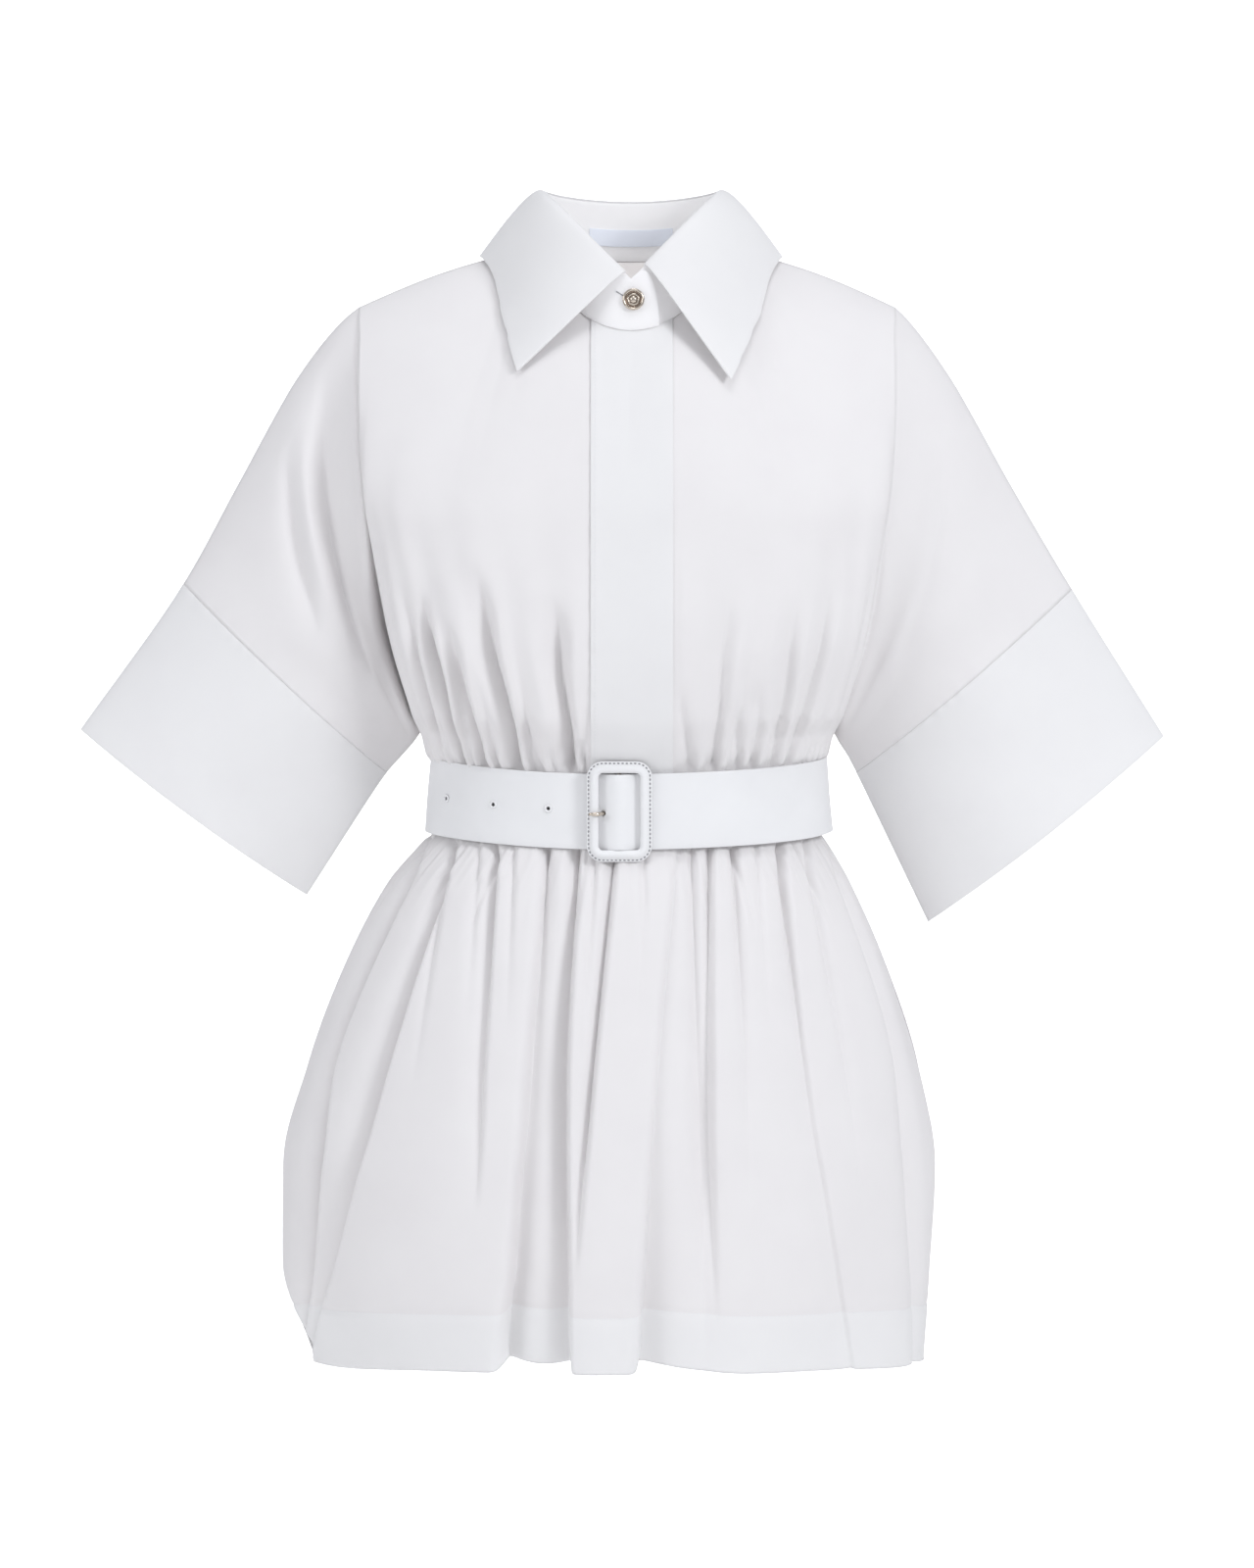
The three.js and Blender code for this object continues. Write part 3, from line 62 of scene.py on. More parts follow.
class Face(Enum):
    """The two faces of the garment, by the side of the body that they lie on."""

    FRONT = -1
    BACK = 1

    @property
    def label(self) -> str:
        """The face's name in the columns of the tables."""
        return self.name.lower()


class Side(Enum):
    """The wearer's two sides."""

    RIGHT = -1
    LEFT = 1


def ease(t: Array) -> Array:
    """Returns t from 0 to 1, with a soft start and end."""
    c = np.clip(t, 0.0, 1.0)
    return c * c * (3 - 2 * c)


def mix(a: Array, b: Array, t: Array) -> Array:
    """Returns the value that lies the share t of the way from a to b."""
    return a + (b - a) * t


def crease(away: Array, width: Array, sharp: float = 0.3) -> Array:
    """Returns the cross section of a fold, 1 in its middle, at a distance away from it."""
    return np.exp(sharp - np.hypot(sharp, away / width))


def stack(x: Array, y: Array, z: Array) -> Array:
    """Returns points from their three coordinates."""
    return np.stack(np.broadcast_arrays(x, y, z), axis=-1).astype(float)


def unit(v: Array) -> Array:
    """Returns vectors of length 1."""
    return v / np.maximum(np.linalg.norm(v, axis=-1, keepdims=True), 1e-9)


class Curve:
    """A smooth curve through one column of a table, which never overshoots a row."""

    def __init__(self, rows: Sequence[object], key: str, column: str) -> None:
        """Reads the two columns of the table.

        Args:
            rows: The table's rows.
            key: The column that the curve is read at.
            column: The column that it gives.
        """
        pairs = sorted((float(getattr(r, key)), float(getattr(r, column))) for r in rows)
        self.keys = np.array([p[0] for p in pairs])
        self.values = np.array([p[1] for p in pairs])
        rise = np.diff(self.values) / np.diff(self.keys)
        product = rise[:-1] * rise[1:]
        total = np.where(np.abs(rise[:-1] + rise[1:]) < 1e-12, 1.0, rise[:-1] + rise[1:])
        inner = np.where(product <= 0, 0.0, 2 * product / total)
        self.slopes = np.concatenate([rise[:1], inner, rise[-1:]])

    def __call__(self, x: Array) -> Array:
        """Returns the column's values at x."""
        i = np.clip(np.searchsorted(self.keys, x, side="right") - 1, 0, len(self.keys) - 2)
        span = self.keys[i + 1] - self.keys[i]
        t = np.clip((x - self.keys[i]) / span, 0, 1)
        t2, t3 = t * t, t * t * t
        return (
            (2 * t3 - 3 * t2 + 1) * self.values[i]
            + (t3 - 2 * t2 + t) * span * self.slopes[i]
            + (3 * t2 - 2 * t3) * self.values[i + 1]
            + (t3 - t2) * span * self.slopes[i + 1]
        )


def curves_of(rows: Sequence[object], key: str, *columns: str) -> dict[str, Curve]:
    """Returns a curve through each of a table's columns."""
    return {column: Curve(rows, key, column) for column in columns}


def normals_of(surface: Surface, u: Array, v: Array, step: tuple[float, float], sign: float) -> Array:
    """Finds a surface's outward directions by small steps.

    Args:
        surface: The surface.
        u: First places on it.
        v: Second places on it.
        step: The two steps.
        sign: 1 or -1, to turn the result outwards.

    Returns:
        Directions of length 1.
    """
    du = surface(u + step[0], v) - surface(u - step[0], v)
    dv = surface(u, v + step[1]) - surface(u, v - step[1])
    return unit(np.cross(du, dv)) * sign


@dataclass(frozen=True)
class Level:
    """A ring of the bodice: its height, half width and depths from front to back."""

    down: float
    z: float
    half: float
    front: float
    side_front: float
    side_back: float
    back: float


@dataclass(frozen=True)
class Roll:
    """How cloth leaves the top edge at a place across: its pull and its slope below level."""

    across: float
    front_pull: float
    front_slope: float
    back_pull: float
    back_slope: float


@dataclass(frozen=True)
class Gather:
    """A gather that rises from the waist to where it dies out."""

    waist_x: float
    end_x: float
    end_z: float
    depth: float


LEVELS = (
    Level(0.45, -190, 187, -120, -74, 62, 100),
    Level(0.68, -270, 173, -125, -70, 56, 97),
    Level(0.85, -331, 157, -120, -36, 30, 95),
    Level(0.9, -350, 151, -112, 0, 0, 92),
    Level(0.935, -363, 147, -103, 0, 0, 89),
    Level(0.965, -374.5, 141, -98, 0, 0, 86.5),
    Level(1, -399, 140, -95, 0, 0, 85),
)
ROLLS = (Roll(0, 120, 60, 100, 48), Roll(0.4, 140, 24, 125, 20), Roll(1, 120, 18, 115, 18))
FRONT_GATHERS = (
    Gather(-128, -163, -232, 6),
    Gather(-114, -150, -236, 15),
    Gather(-99, -131, -256, 10),
    Gather(-75, -108, -216, 13),
    Gather(-60, -76, -322, 4),
    Gather(-38, -53, -236, 12),
    Gather(-29, -32, -344, 3),
    Gather(44, 40, -302, 4),
    Gather(61, 74, -230, 6.5),
    Gather(79, 82, -318, 4),
    Gather(90, 99, -300, 4),
    Gather(103, 124, -240, 5),
    Gather(114, 150, -230, 4),
)
BACK_GATHERS = (
    Gather(-122, -147, -262, 6),
    Gather(-106, -131, -320, 5),
    Gather(-90, -113, -236, 9),
    Gather(-71, -84, -300, 6),
    Gather(-55, -68, -248, 8),
    Gather(-37, -42, -326, 4),
    Gather(-19, -24, -256, 8),
    Gather(-1, 0, -312, 5),
    Gather(17, 22, -268, 7),
    Gather(36, 44, -244, 9),
    Gather(54, 64, -318, 5),
    Gather(72, 90, -258, 8),
    Gather(91, 110, -306, 6),
    Gather(106, 132, -240, 8),
    Gather(122, 146, -288, 5),
)


@dataclass
class Bodice:
    """The form of the bodice: a family of rings from the neckline and shoulders to the waist."""

    neck_side: float = 66
    neck_shift: float = 3
    neck_front: float = 74
    neck_back: float = 58
    neck_point_z: float = 6
    dip_front: float = 60
    dip_back: float = 11
    neck_share: float = 0.4
    shoulder_x: float = 196
    shoulder_y: float = 2
    shoulder_drop: float = 44
    shoulder_bow: float = 5
    chest_down: float = 0.45
    band_middle: float = 3.5
    band_half: float = 29.5
    band_free: float = 7
    width_waist: float = 2.5
    width_end: float = 6.5
    under_belt: float = 0.18
    corner_reach: float = 0.07
    puckers: int = 24
    curves: dict[str, Curve] = field(init=False)

    def __post_init__(self) -> None:
        """Reads the tables once."""
        self.curves = curves_of(LEVELS, "down", "z", "half", "front", "side_front", "side_back", "back")
        self.curves |= curves_of(ROLLS, "across", "front_pull", "front_slope", "back_pull", "back_slope")

    def neckline(self, angle: Array) -> Array:
        """Returns points of the neckline at angles round the neck, from the centre front."""
        c, s = np.cos(np.radians(angle)), np.sin(np.radians(angle))
        front = c > 0
        dip = np.where(
            front, self.dip_front * np.maximum(c, 0) ** 1.4, self.dip_back * np.maximum(-c, 0) ** 1.2
        )
        y = np.where(front, -self.neck_front * c, -self.neck_back * c)
        return stack(self.neck_shift + self.neck_side * s, y, self.neck_point_z - dip)

    def top_edge(self, face: Face, across: Array) -> Array:
        """Returns points of the neckline and shoulder seam at places across."""
        side = np.where(across < 0, -1.0, 1.0)
        share = np.abs(across)
        turn = np.minimum(share / self.neck_share, 1) * 90
        neck = self.neckline(side * (turn if face is Face.FRONT else 180 - turn))
        t = np.clip((share - self.neck_share) / (1 - self.neck_share), 0, 1.1)
        corner = self.neckline(side * 90)
        seam = stack(
            mix(corner[..., 0], side * self.shoulder_x, t),
            mix(corner[..., 1], self.shoulder_y, t),
            self.neck_point_z - self.shoulder_drop * t + self.shoulder_bow * np.sin(np.pi * t),
        )
        return np.where((share <= self.neck_share)[..., None], neck, seam)

    def soft_top(self, face: Face, across: Array, down: Array) -> Array:
        """Returns the top edge with its corners softened, the more the further down the cloth is."""
        reach = self.corner_reach * ease(down / 0.12)
        taps = ((-2, 1), (-1, 4), (0, 6), (1, 4), (2, 1))
        return sum(weight * self.top_edge(face, across + step * reach) for step, weight in taps) / 16

    def ring(self, face: Face, across: Array, down: Array) -> Array:
        """Returns points of the rings at or below the chest."""
        turn = np.radians(90 * across)
        names = ("half", f"side_{face.label}", face.label, "z")
        half, edge, middle, z = (self.curves[name](down) for name in names)
        return stack(half * np.sin(turn), mix(edge, middle, np.cos(turn)), z)

    def plain(self, face: Face, across: Array, down: Array) -> Array:
        """Returns points of the bodice before it is gathered."""
        across, down = np.broadcast_arrays(np.asarray(across, float), np.asarray(down, float))
        step = 0.01
        top = self.soft_top(face, across, down)
        chest_at = np.full_like(down, self.chest_down)
        chest = self.ring(face, across, chest_at)
        chest_pull = (self.ring(face, across, chest_at + step) - chest) * (self.chest_down / step)
        share = np.clip(np.abs(across), 0, 1)
        pull = self.curves[f"{face.label}_pull"](share)
        slope = np.radians(self.curves[f"{face.label}_slope"](share))
        top_pull = stack(np.zeros_like(pull), face.value * np.cos(slope) * pull, -np.sin(slope) * pull)
        t = (np.clip(down, 0, self.chest_down) / self.chest_down)[..., None]
        t2, t3 = t * t, t * t * t
        upper = (
            top * (2 * t3 - 3 * t2 + 1) + top_pull * (t3 - 2 * t2 + t) + chest * (3 * t2 - 2 * t3)
            + chest_pull * (t3 - t2)
        )
        return np.where((down >= self.chest_down)[..., None], self.ring(face, across, down), upper)

    def normals(self, face: Face, across: Array, down: Array) -> Array:
        """Returns the outward directions of the plain bodice."""
        a, d = np.clip(across, -0.999, 0.999), np.clip(down, 0.001, 0.999)
        return normals_of(lambda u, v: self.plain(face, u, v), a, d, (1e-3, 1e-3), face.value)

    def across_at(self, face: Face, x: Array, down: Array) -> Array:
        """Returns the places across where the rings meet planes of constant x."""
        x, down = np.broadcast_arrays(np.asarray(x, float), np.asarray(down, float))
        low, high = np.full(x.shape, -1.0), np.full(x.shape, 1.0)
        for _ in range(30):
            middle = (low + high) / 2
            less = self.plain(face, middle, down)[..., 0] < x
            low, high = np.where(less, middle, low), np.where(less, high, middle)
        return (low + high) / 2

    def gather_line(self, gather: Gather) -> Triple:
        """Returns a gather's place across at the waist and at its end, and how far down it ends."""
        zs, downs = zip(*((level.z, level.down) for level in reversed(LEVELS)))
        end_down = float(np.interp(gather.end_z, zs, downs))
        half = float(self.curves["half"](np.array(end_down)))
        shares = np.clip([gather.waist_x / LEVELS[-1].half, gather.end_x / half], -1, 1)
        waist, end = np.arcsin(shares) / (np.pi / 2)
        return waist, end, end_down

    def gathering(self, face: Face, across: Array, down: Array) -> Array:
        """Returns how deep the gathers and the small puckers between them press the cloth in."""
        total = np.zeros(np.broadcast(across, down).shape)
        belt = mix(1, self.under_belt, ease((down - 0.945) / 0.02))
        scale = self.curves["half"](down) * 1.3
        for k, gather in enumerate(FRONT_GATHERS if face is Face.FRONT else BACK_GATHERS):
            waist, end, end_down = self.gather_line(gather)
            line = mix(waist, end, ease((1 - down) / (1 - end_down)))
            t = (down - end_down) / (0.93 - end_down)
            width = mix(self.width_end, self.width_waist, np.clip(t, 0, 1))
            wander = 0.006 * np.sin(31 * down + 2.4 * k)
            rise = ease(t * 2.2)
            away = (across - line - wander * np.clip(1 - t, 0, 1)) * scale
            sides = np.where(away < 0, 1.5 * width, 0.75 * width)
            total += 1.15 * gather.depth * rise * crease(away, sides)
            total -= 0.3 * gather.depth * rise * crease(away - 1.8 * width, 0.7 * width, 1.0)
            total -= 0.15 * gather.depth * rise * crease(away + 3.2 * width, 0.9 * width, 1.0)
            total += 0.2 * gather.depth * ease(t * 1.2 - 0.3) * crease(away - 3.7 * width, 0.5 * width)
        for k in range(self.puckers):
            line = -0.94 + 1.88 * k / (self.puckers - 1) + 0.018 * math.sin(7 * k + face.value)
            start = 0.925 - 0.02 * (1.4 + math.sin(3.7 * k + face.value))
            away = (across - line * mix(1, 0.97, ease((1 - down) / 0.2))) * scale
            total += (1.3 + 1.0 * math.sin(2.3 * k)) * ease((down - start) / 0.04) * crease(away, 1.7)
        pucker = ease((down - 0.9) / 0.035) * (0.8 * np.sin(133 * across + 2 * np.sin(19 * across)))
        ripple = ease((down - 0.925) / 0.02) * 0.7 * np.sin(251 * across + 3 * np.sin(37 * across))
        return np.where(down < 0.3, 0, (total + pucker + ripple) * belt)

    def waviness(self, face: Face, across: Array, down: Array) -> Array:
        """Returns the soft unevenness of hanging cloth, which dies out at the neck and shoulders."""
        x, shift = across * 9, 1.3 * face.value
        soft = np.sin(1.7 * x + 5 * down + shift) * np.sin(4.1 * down + 0.6 * x + shift)
        streaks = np.sin(5.3 * x + 1.4 * np.sin(6 * down) + shift) * ease((down - 0.3) / 0.4)
        return (1.5 * soft + 0.7 * streaks) * ease((down - 0.2) / 0.2) * ease((0.95 - down) / 0.1)

    def cloth(self, face: Face) -> Surface:
        """Returns the gathered bodice as a surface of places across and down."""

        def surface(across: Array, down: Array) -> Array:
            """Returns points of the gathered cloth."""
            point = self.plain(face, across, down)
            clear = np.ones(point.shape[:-1])
            if face is Face.FRONT:
                clear = ease((np.abs(point[..., 0] - self.band_middle) - self.band_half) / self.band_free)
            rim = ease((1 - np.abs(across)) / 0.08)
            depth = clear * (self.gathering(face, across, down) + rim * self.waviness(face, across, down))
            return point - self.normals(face, across, down) * depth[..., None]

        return surface


@dataclass(frozen=True)
class Section:
    """A section through a sleeve: its top and underarm points, depths and roundness."""

    along: float
    top_x: float
    top_z: float
    low_x: float
    low_z: float
    front: float
    back: float
    round: float


@dataclass(frozen=True)
class SleeveFold:
    """A soft fold that falls down one face of a sleeve."""

    start_along: float
    end_along: float
    start: float
    end: float
    depth: float
    width: float
    face: Face


RIGHT_SECTIONS = (
    Section(0, 197, -38, 151, -350, 56, 56, 0.62),
    Section(0.08, 219, -57, 153, -353, 58, 57, 0.62),
    Section(0.2, 241, -89, 156, -357, 57, 57, 0.64),
    Section(0.55, 284, -166, 165, -367, 51, 52, 0.7),
    Section(1, 325, -240, 176, -379, 45, 45, 0.76),
    Section(1.5, 401, -347, 235, -469, 41, 41, 0.8),
)
LEFT_SECTIONS = (
    Section(0, 197, -38, 151, -350, 60, 56, 0.62),
    Section(0.08, 216, -58, 153, -353, 61, 57, 0.62),
    Section(0.2, 237, -90, 155, -357, 61, 57, 0.64),
    Section(0.55, 281, -168, 161, -366, 54, 52, 0.7),
    Section(1, 326, -244, 168, -379, 47, 45, 0.76),
    Section(1.5, 394, -352, 221, -489, 43, 41, 0.8),
)
RIGHT_FOLDS = (
    SleeveFold(0.13, 0.27, 0.06, 0.8, 13, 7, Face.FRONT),
    SleeveFold(0.3, 0.52, 0.1, 0.55, 8, 12, Face.FRONT),
    SleeveFold(0.16, 0.4, 0.1, 0.66, 10, 10, Face.BACK),
)
LEFT_FOLDS = (
    SleeveFold(0.2, 0.42, 0.12, 0.74, 5, 16, Face.FRONT),
    SleeveFold(0.18, 0.44, 0.1, 0.68, 9, 11, Face.BACK),
)


@dataclass
class Sleeve:
    """One sleeve with its wide band, as a tube from the armhole to the band's edge."""

    side: Side
    bodice: Bodice
    sections: tuple[Section, ...]
    folds: tuple[SleeveFold, ...]
    tuck: float
    tuck_width: float
    gap: float
    armhole_ease: float = 0.24
    middle_y: float = 2
    gap_at: float = 0.03
    gap_width: float = 0.026
    curves: dict[str, Curve] = field(init=False)

    def __post_init__(self) -> None:
        """Reads the table once."""
        columns = ("top_x", "top_z", "low_x", "low_z", "front", "back", "round")
        self.curves = curves_of(self.sections, "along", *columns)

    def face_points(self, face: Face, along: Array, share: Array) -> Array:
        """Returns points of one face, share 0 at its top fold and 1 at the underarm."""
        at = {name: curve(along) for name, curve in self.curves.items()}
        hump = np.sin(np.pi * np.clip(share, 0, 1))
        bow = 14 * hump * (1 - ease(along / 0.9))
        swell = np.maximum(0, hump) ** at["round"]
        valley = self.tuck * np.exp(-(((along - 0.08) / self.tuck_width) ** 2))
        valley = valley * ease(share / 0.35) * ease((1 - share) / 0.25)
        deep = (at["front"] - valley if face is Face.FRONT else at["back"]) * swell
        depth = np.maximum(6 * hump, deep)
        dents = np.zeros_like(depth)
        for fold in self.folds:
            if fold.face is not face:
                continue
            t = (share - fold.start) / (fold.end - fold.start)
            lift = np.where((t > 0) & (t < 1), np.sin(np.pi * np.clip(t, 0, 1)), 0)
            away = (along - mix(fold.start_along, fold.end_along, t)) * mix(230, 60, share)
            dents += fold.depth * lift * crease(away, fold.width)
            dents -= 0.25 * fold.depth * lift * crease(away + 1.9 * fold.width, 0.7 * fold.width)
        wave = np.sin(9 * share + 5 * along + self.side.value) * np.sin(7 * along + 2 * share)
        dents += 1.1 * wave * hump * ease(along / 0.3)
        pucker = np.exp(-(((along - 1) / 0.035) ** 2)) * 0.45 * np.sin(95 * share + 2 * np.sin(21 * share))
        dents += pucker * ease(hump * 4)
        free = stack(
            self.side.value * (mix(at["top_x"], at["low_x"], share) + bow),
            face.value * (depth - dents),
            mix(at["top_z"], at["low_z"], share),
        )
        edge = self.bodice.plain(face, np.full(share.shape, float(self.side.value)), share * 0.9)
        blend = np.sin((np.pi / 2) * np.clip(along / self.armhole_ease, 0, 1))[..., None]
        point = np.where((along >= self.armhole_ease)[..., None], free, edge + (free - edge) * blend)
        low = ease((share - 0.45) / 0.35)
        reach = ease(share / 0.14) * ease((1.0 - share) / 0.07) * ease(along / 0.01) * mix(0.16, 1, low)
        spot, spread = mix(0.8, 2.0, low) * self.gap_at, mix(0.6, 2.0, low) * self.gap_width
        gap = self.gap * (1 if face is Face.FRONT else 0.3) * reach
        gap = gap * np.exp(-(((along - spot) / spread) ** 2))
        point[..., 1] += gap * (self.middle_y - point[..., 1])
        return point

    def tube(self, turn: Array, along: Array) -> Array:
        """Returns points round the tube: turn 0 to 1 goes down the front, 1 to 2 up the back."""
        turn, along = np.broadcast_arrays(np.mod(turn, 2.0), along)
        front = self.face_points(Face.FRONT, along, np.clip(turn, 0, 1))
        back = self.face_points(Face.BACK, along, np.clip(2 - turn, 0, 1))
        return np.where((turn <= 1)[..., None], front, back)


@dataclass(frozen=True)
class SkirtLevel:
    """A ring of the skirt: its height, half widths to the right and left, and depths."""

    z: float
    right: float
    left: float
    front: float
    back: float


@dataclass(frozen=True)
class Fold:
    """A fold of the skirt: its x and depth at the waist, midway and at the hem, and its widths."""

    waist_x: float
    mid_x: float
    hem_x: float
    waist: float
    mid: float
    hem: float
    tight: float
    open_right: float
    open_left: float


@dataclass(frozen=True)
class Stop:
    """One place down a fold, with what the fold measures there."""

    drop: float
    x: float
    depth: float
    right: float
    left: float


SKIRT_LEVELS = (
    SkirtLevel(-399, 140, 140, 95, 85),
    SkirtLevel(-423, 142.5, 142, 98.4, 87),
    SkirtLevel(-428, 148.5, 145, 102.7, 91),
    SkirtLevel(-434, 154, 149, 105.5, 94.5),
    SkirtLevel(-460, 176, 164, 118, 108),
    SkirtLevel(-522, 208, 191, 134, 124),
    SkirtLevel(-594, 235, 214, 148, 136),
    SkirtLevel(-667, 253, 227, 157, 144),
    SkirtLevel(-739, 253, 224, 161, 148),
    SkirtLevel(-808, 232, 219, 160, 148),
)
FRONT_FOLDS = (
    Fold(-134, -222, -240, 5, 18, 6, 3, 9, 4),
    Fold(-124, -158, -176, 6, 0, -4, 2, 4, 4),
    Fold(-116, -185, -234, 9, 14, 5, 2.4, 16, 2.5),
    Fold(-107, -119, -122, 5, -1, -4, 2, 4, 4),
    Fold(-95, -106, -112, 12, 6, -12, 2.4, 12, 2),
    Fold(-82, -89, -94, 5, -1, -4, 2, 4, 4),
    Fold(-57, -74, -91, 11, 14, 25, 2.2, 1.4, 28),
    Fold(-34, -46, -42, 11, 20, 20, 2.6, 20, 1.8),
    Fold(-21, -34, -43, 5, 0, -4, 2, 4, 3),
    Fold(-6, -27, -43, 9, 11, -9, 2.2, 8, 1.6),
    Fold(14, 6, 0, 3, -1, -4, 2, 4, 4),
    Fold(40, 21, 9, 3, 7, 22, 2, 1.8, 36),
    Fold(47, 54, 58, 8, 7, 1, 2.2, 12, 8),
    Fold(61, 61, 66, 9, 9, -2, 2, 13, 1.8),
    Fold(77, 88, 96, 9, 2, -3, 2.2, 6, 7),
    Fold(92, 108, 120, 4, -1, -3, 2, 4, 4),
    Fold(109, 134, 164, 12, 4, 2.5, 2.2, 9, 1.4),
    Fold(126, 162, 184, 7, 1.5, -1, 2.2, 4, 7),
    Fold(137, 203, 212, 4, 7, 4, 3, 9, 12),
)
BACK_FOLDS = (
    Fold(-136, -210, -220, 5, 10, 6, 4, 16, 14),
    Fold(-118, -168, -186, 8, 18, 12, 4, 14, 12),
    Fold(-100, -142, -160, 6, 4, 2, 4, 10, 10),
    Fold(-80, -112, -124, 9, 22, 26, 4, 12, 20),
    Fold(-60, -80, -92, 7, 8, 4, 3, 10, 10),
    Fold(-41, -48, -50, 9, 26, 30, 4, 20, 12),
    Fold(-20, -20, -16, 7, 6, 3, 3, 8, 8),
    Fold(2, 8, 14, 9, 20, 24, 4, 14, 18),
    Fold(24, 34, 44, 7, 7, 4, 3, 10, 8),
    Fold(45, 64, 78, 9, 24, 28, 4, 18, 14),
    Fold(66, 96, 108, 6, 6, 3, 4, 10, 10),
    Fold(87, 124, 140, 9, 20, 20, 4, 14, 16),
    Fold(108, 152, 168, 7, 6, 4, 4, 12, 10),
    Fold(128, 184, 196, 6, 14, 10, 4, 14, 14),
)


@dataclass
class Skirt:
    """The gathered skirt, folded from the waist seam to the hem."""

    side_z: float = -814
    front_rise: float = 15
    back_rise: float = 8
    hem_depth: float = 42
    puckers: int = 26
    curves: dict[str, Curve] = field(init=False)

    def __post_init__(self) -> None:
        """Reads the table once."""
        self.curves = curves_of(SKIRT_LEVELS, "z", "right", "left", "front", "back")

    @property
    def hem(self) -> float:
        """Where the hem's sewing runs, as a share of the way down."""
        return 1 - self.hem_depth / SKIRT_LENGTH

    def half(self, z: Array, x: Array) -> Array:
        """Returns the skirt's half width at a height, on the side that x is on."""
        return np.where(x < 0, self.curves["right"](z), self.curves["left"](z))

    def stops(self, fold: Fold) -> tuple[Stop, ...]:
        """Returns what a fold measures at three places down the skirt."""
        half_right, half_left = mix(fold.tight, fold.open_right, 0.7), mix(fold.tight, fold.open_left, 0.7)
        return (
            Stop(0, fold.waist_x, fold.waist, fold.tight, fold.tight),
            Stop(0.52, fold.mid_x, fold.mid, half_right, half_left),
            Stop(1, fold.hem_x, fold.hem, fold.open_right, fold.open_left),
        )

    def creases(
        self, face: Face, turn: Array, drop: Array
    ) -> list[tuple[Fold, Array, Array, Array]]:
        """Finds each fold on the skirt.

        Args:
            face: The face of the skirt.
            turn: Places round.
            drop: Places down.

        Returns:
            Each fold with its depth, its width and how far away it is.
        """
        found = []
        z = mix(WAIST_Z, self.side_z, drop)
        deep = self.curves[face.label](z)
        angle = np.pi / 2 * turn
        arc = np.hypot(self.half(z, turn) * np.cos(angle), deep * np.sin(angle))
        for fold in FRONT_FOLDS if face is Face.FRONT else BACK_FOLDS:
            curves = curves_of(self.stops(fold), "drop", "x", "depth", "right", "left")
            x, depth, right, left = (curve(drop) for curve in curves.values())
            line = np.arcsin(np.clip(x / self.half(z, x), -0.999, 0.999))
            away = (angle - line) * arc
            found.append((fold, depth, np.where(away < 0, right, left), away))
        return found

    def columns(self, face: Face, drops: Array, count: int) -> Array:
        """Returns places round for each row of a grid, closer together where folds are sharp."""
        fine = np.linspace(-1, 1, 1500)
        turn, drop = np.broadcast_arrays(fine, drops[:, None])
        crowd = np.ones(turn.shape)
        for fold, depth, _, away in self.creases(face, turn, drop):
            crowd += 0.25 * np.clip(depth, 0, 10) * np.exp(-((away / 4) ** 2))
        total = np.cumsum(crowd, axis=1)
        total = (total - total[:, :1]) / (total[:, -1:] - total[:, :1])
        return np.stack([np.interp(np.linspace(0, 1, count), row, fine) for row in total])

    def folding(self, face: Face, turn: Array, drop: Array, arc: Array) -> Array:
        """Returns how deep the folds press the skirt in."""
        depth = np.zeros(np.broadcast(turn, drop).shape)
        for fold, deep, width, away in self.creases(face, turn, drop):
            depth += np.maximum(0, deep) * crease(away, width, 0.2)
            depth -= 0.12 * np.maximum(0, deep) * crease(away - 1.9 * width, 0.7 * width, 1.0)
            ridge = crease(away - 2.2 * fold.tight, fold.tight, 1.0)
            depth -= 0.12 * fold.waist * ridge * ease((0.3 - drop) / 0.25)
        for k in range(self.puckers):
            line = -0.95 + 1.9 * k / (self.puckers - 1) + 0.016 * math.sin(5 * k + face.value)
            end = 0.17 + 0.07 * math.sin(3.1 * k + face.value)
            away = (turn - line) * (np.pi / 2) * arc
            depth += (2.4 + 1.6 * math.sin(1.9 * k)) * ease((end - drop) / 0.13) * crease(away, 1.8, 0.2)
        small = 0.5 * np.sin(147 * turn + 2.2 * np.sin(23 * turn))
        small += 0.3 * np.sin(263 * turn + 3 * np.sin(31 * turn))
        depth += small * ease((0.2 - drop) / 0.13)
        soft = np.sin(11 * turn + 4 * drop + face.value) * np.sin(6 * drop + 3 * turn)
        return depth + 1.6 * soft * ease((drop - 0.15) / 0.3)

    def surface(self, face: Face) -> Surface:
        """Returns one face of the skirt as a surface of places round and down."""

        def points(turn: Array, drop: Array) -> Array:
            """Returns points of the folded skirt."""
            turn, drop = np.broadcast_arrays(np.asarray(turn, float), np.asarray(drop, float))
            angle = np.radians(90 * turn)
            rise = (self.front_rise if face is Face.FRONT else self.back_rise) * np.cos(angle)
            z = mix(WAIST_Z, self.side_z + rise, drop)
            half = self.half(z, turn)
            deep = self.curves[face.label](z)
            hold = mix(0.15, 1, ease((-421 - z) / 9))
            arc = np.hypot(half * np.cos(angle), deep * np.sin(angle))
            seam = mix(1, ease((1 - np.abs(turn)) / 0.04), 0.6)
            depth = self.folding(face, turn, drop, arc) * hold * seam
            out = unit(stack(np.sin(angle) / half, face.value * np.cos(angle) / deep, np.zeros_like(z)))
            past_hem = (drop - self.hem) / 0.004
            depth = depth - 0.35 * ease(past_hem) + 0.5 * np.exp(-(past_hem**2))
            base = stack(half * np.sin(angle), face.value * deep * np.cos(angle), z + 0.34 * depth * drop**3)
            return base - out * depth[..., None]

        return points


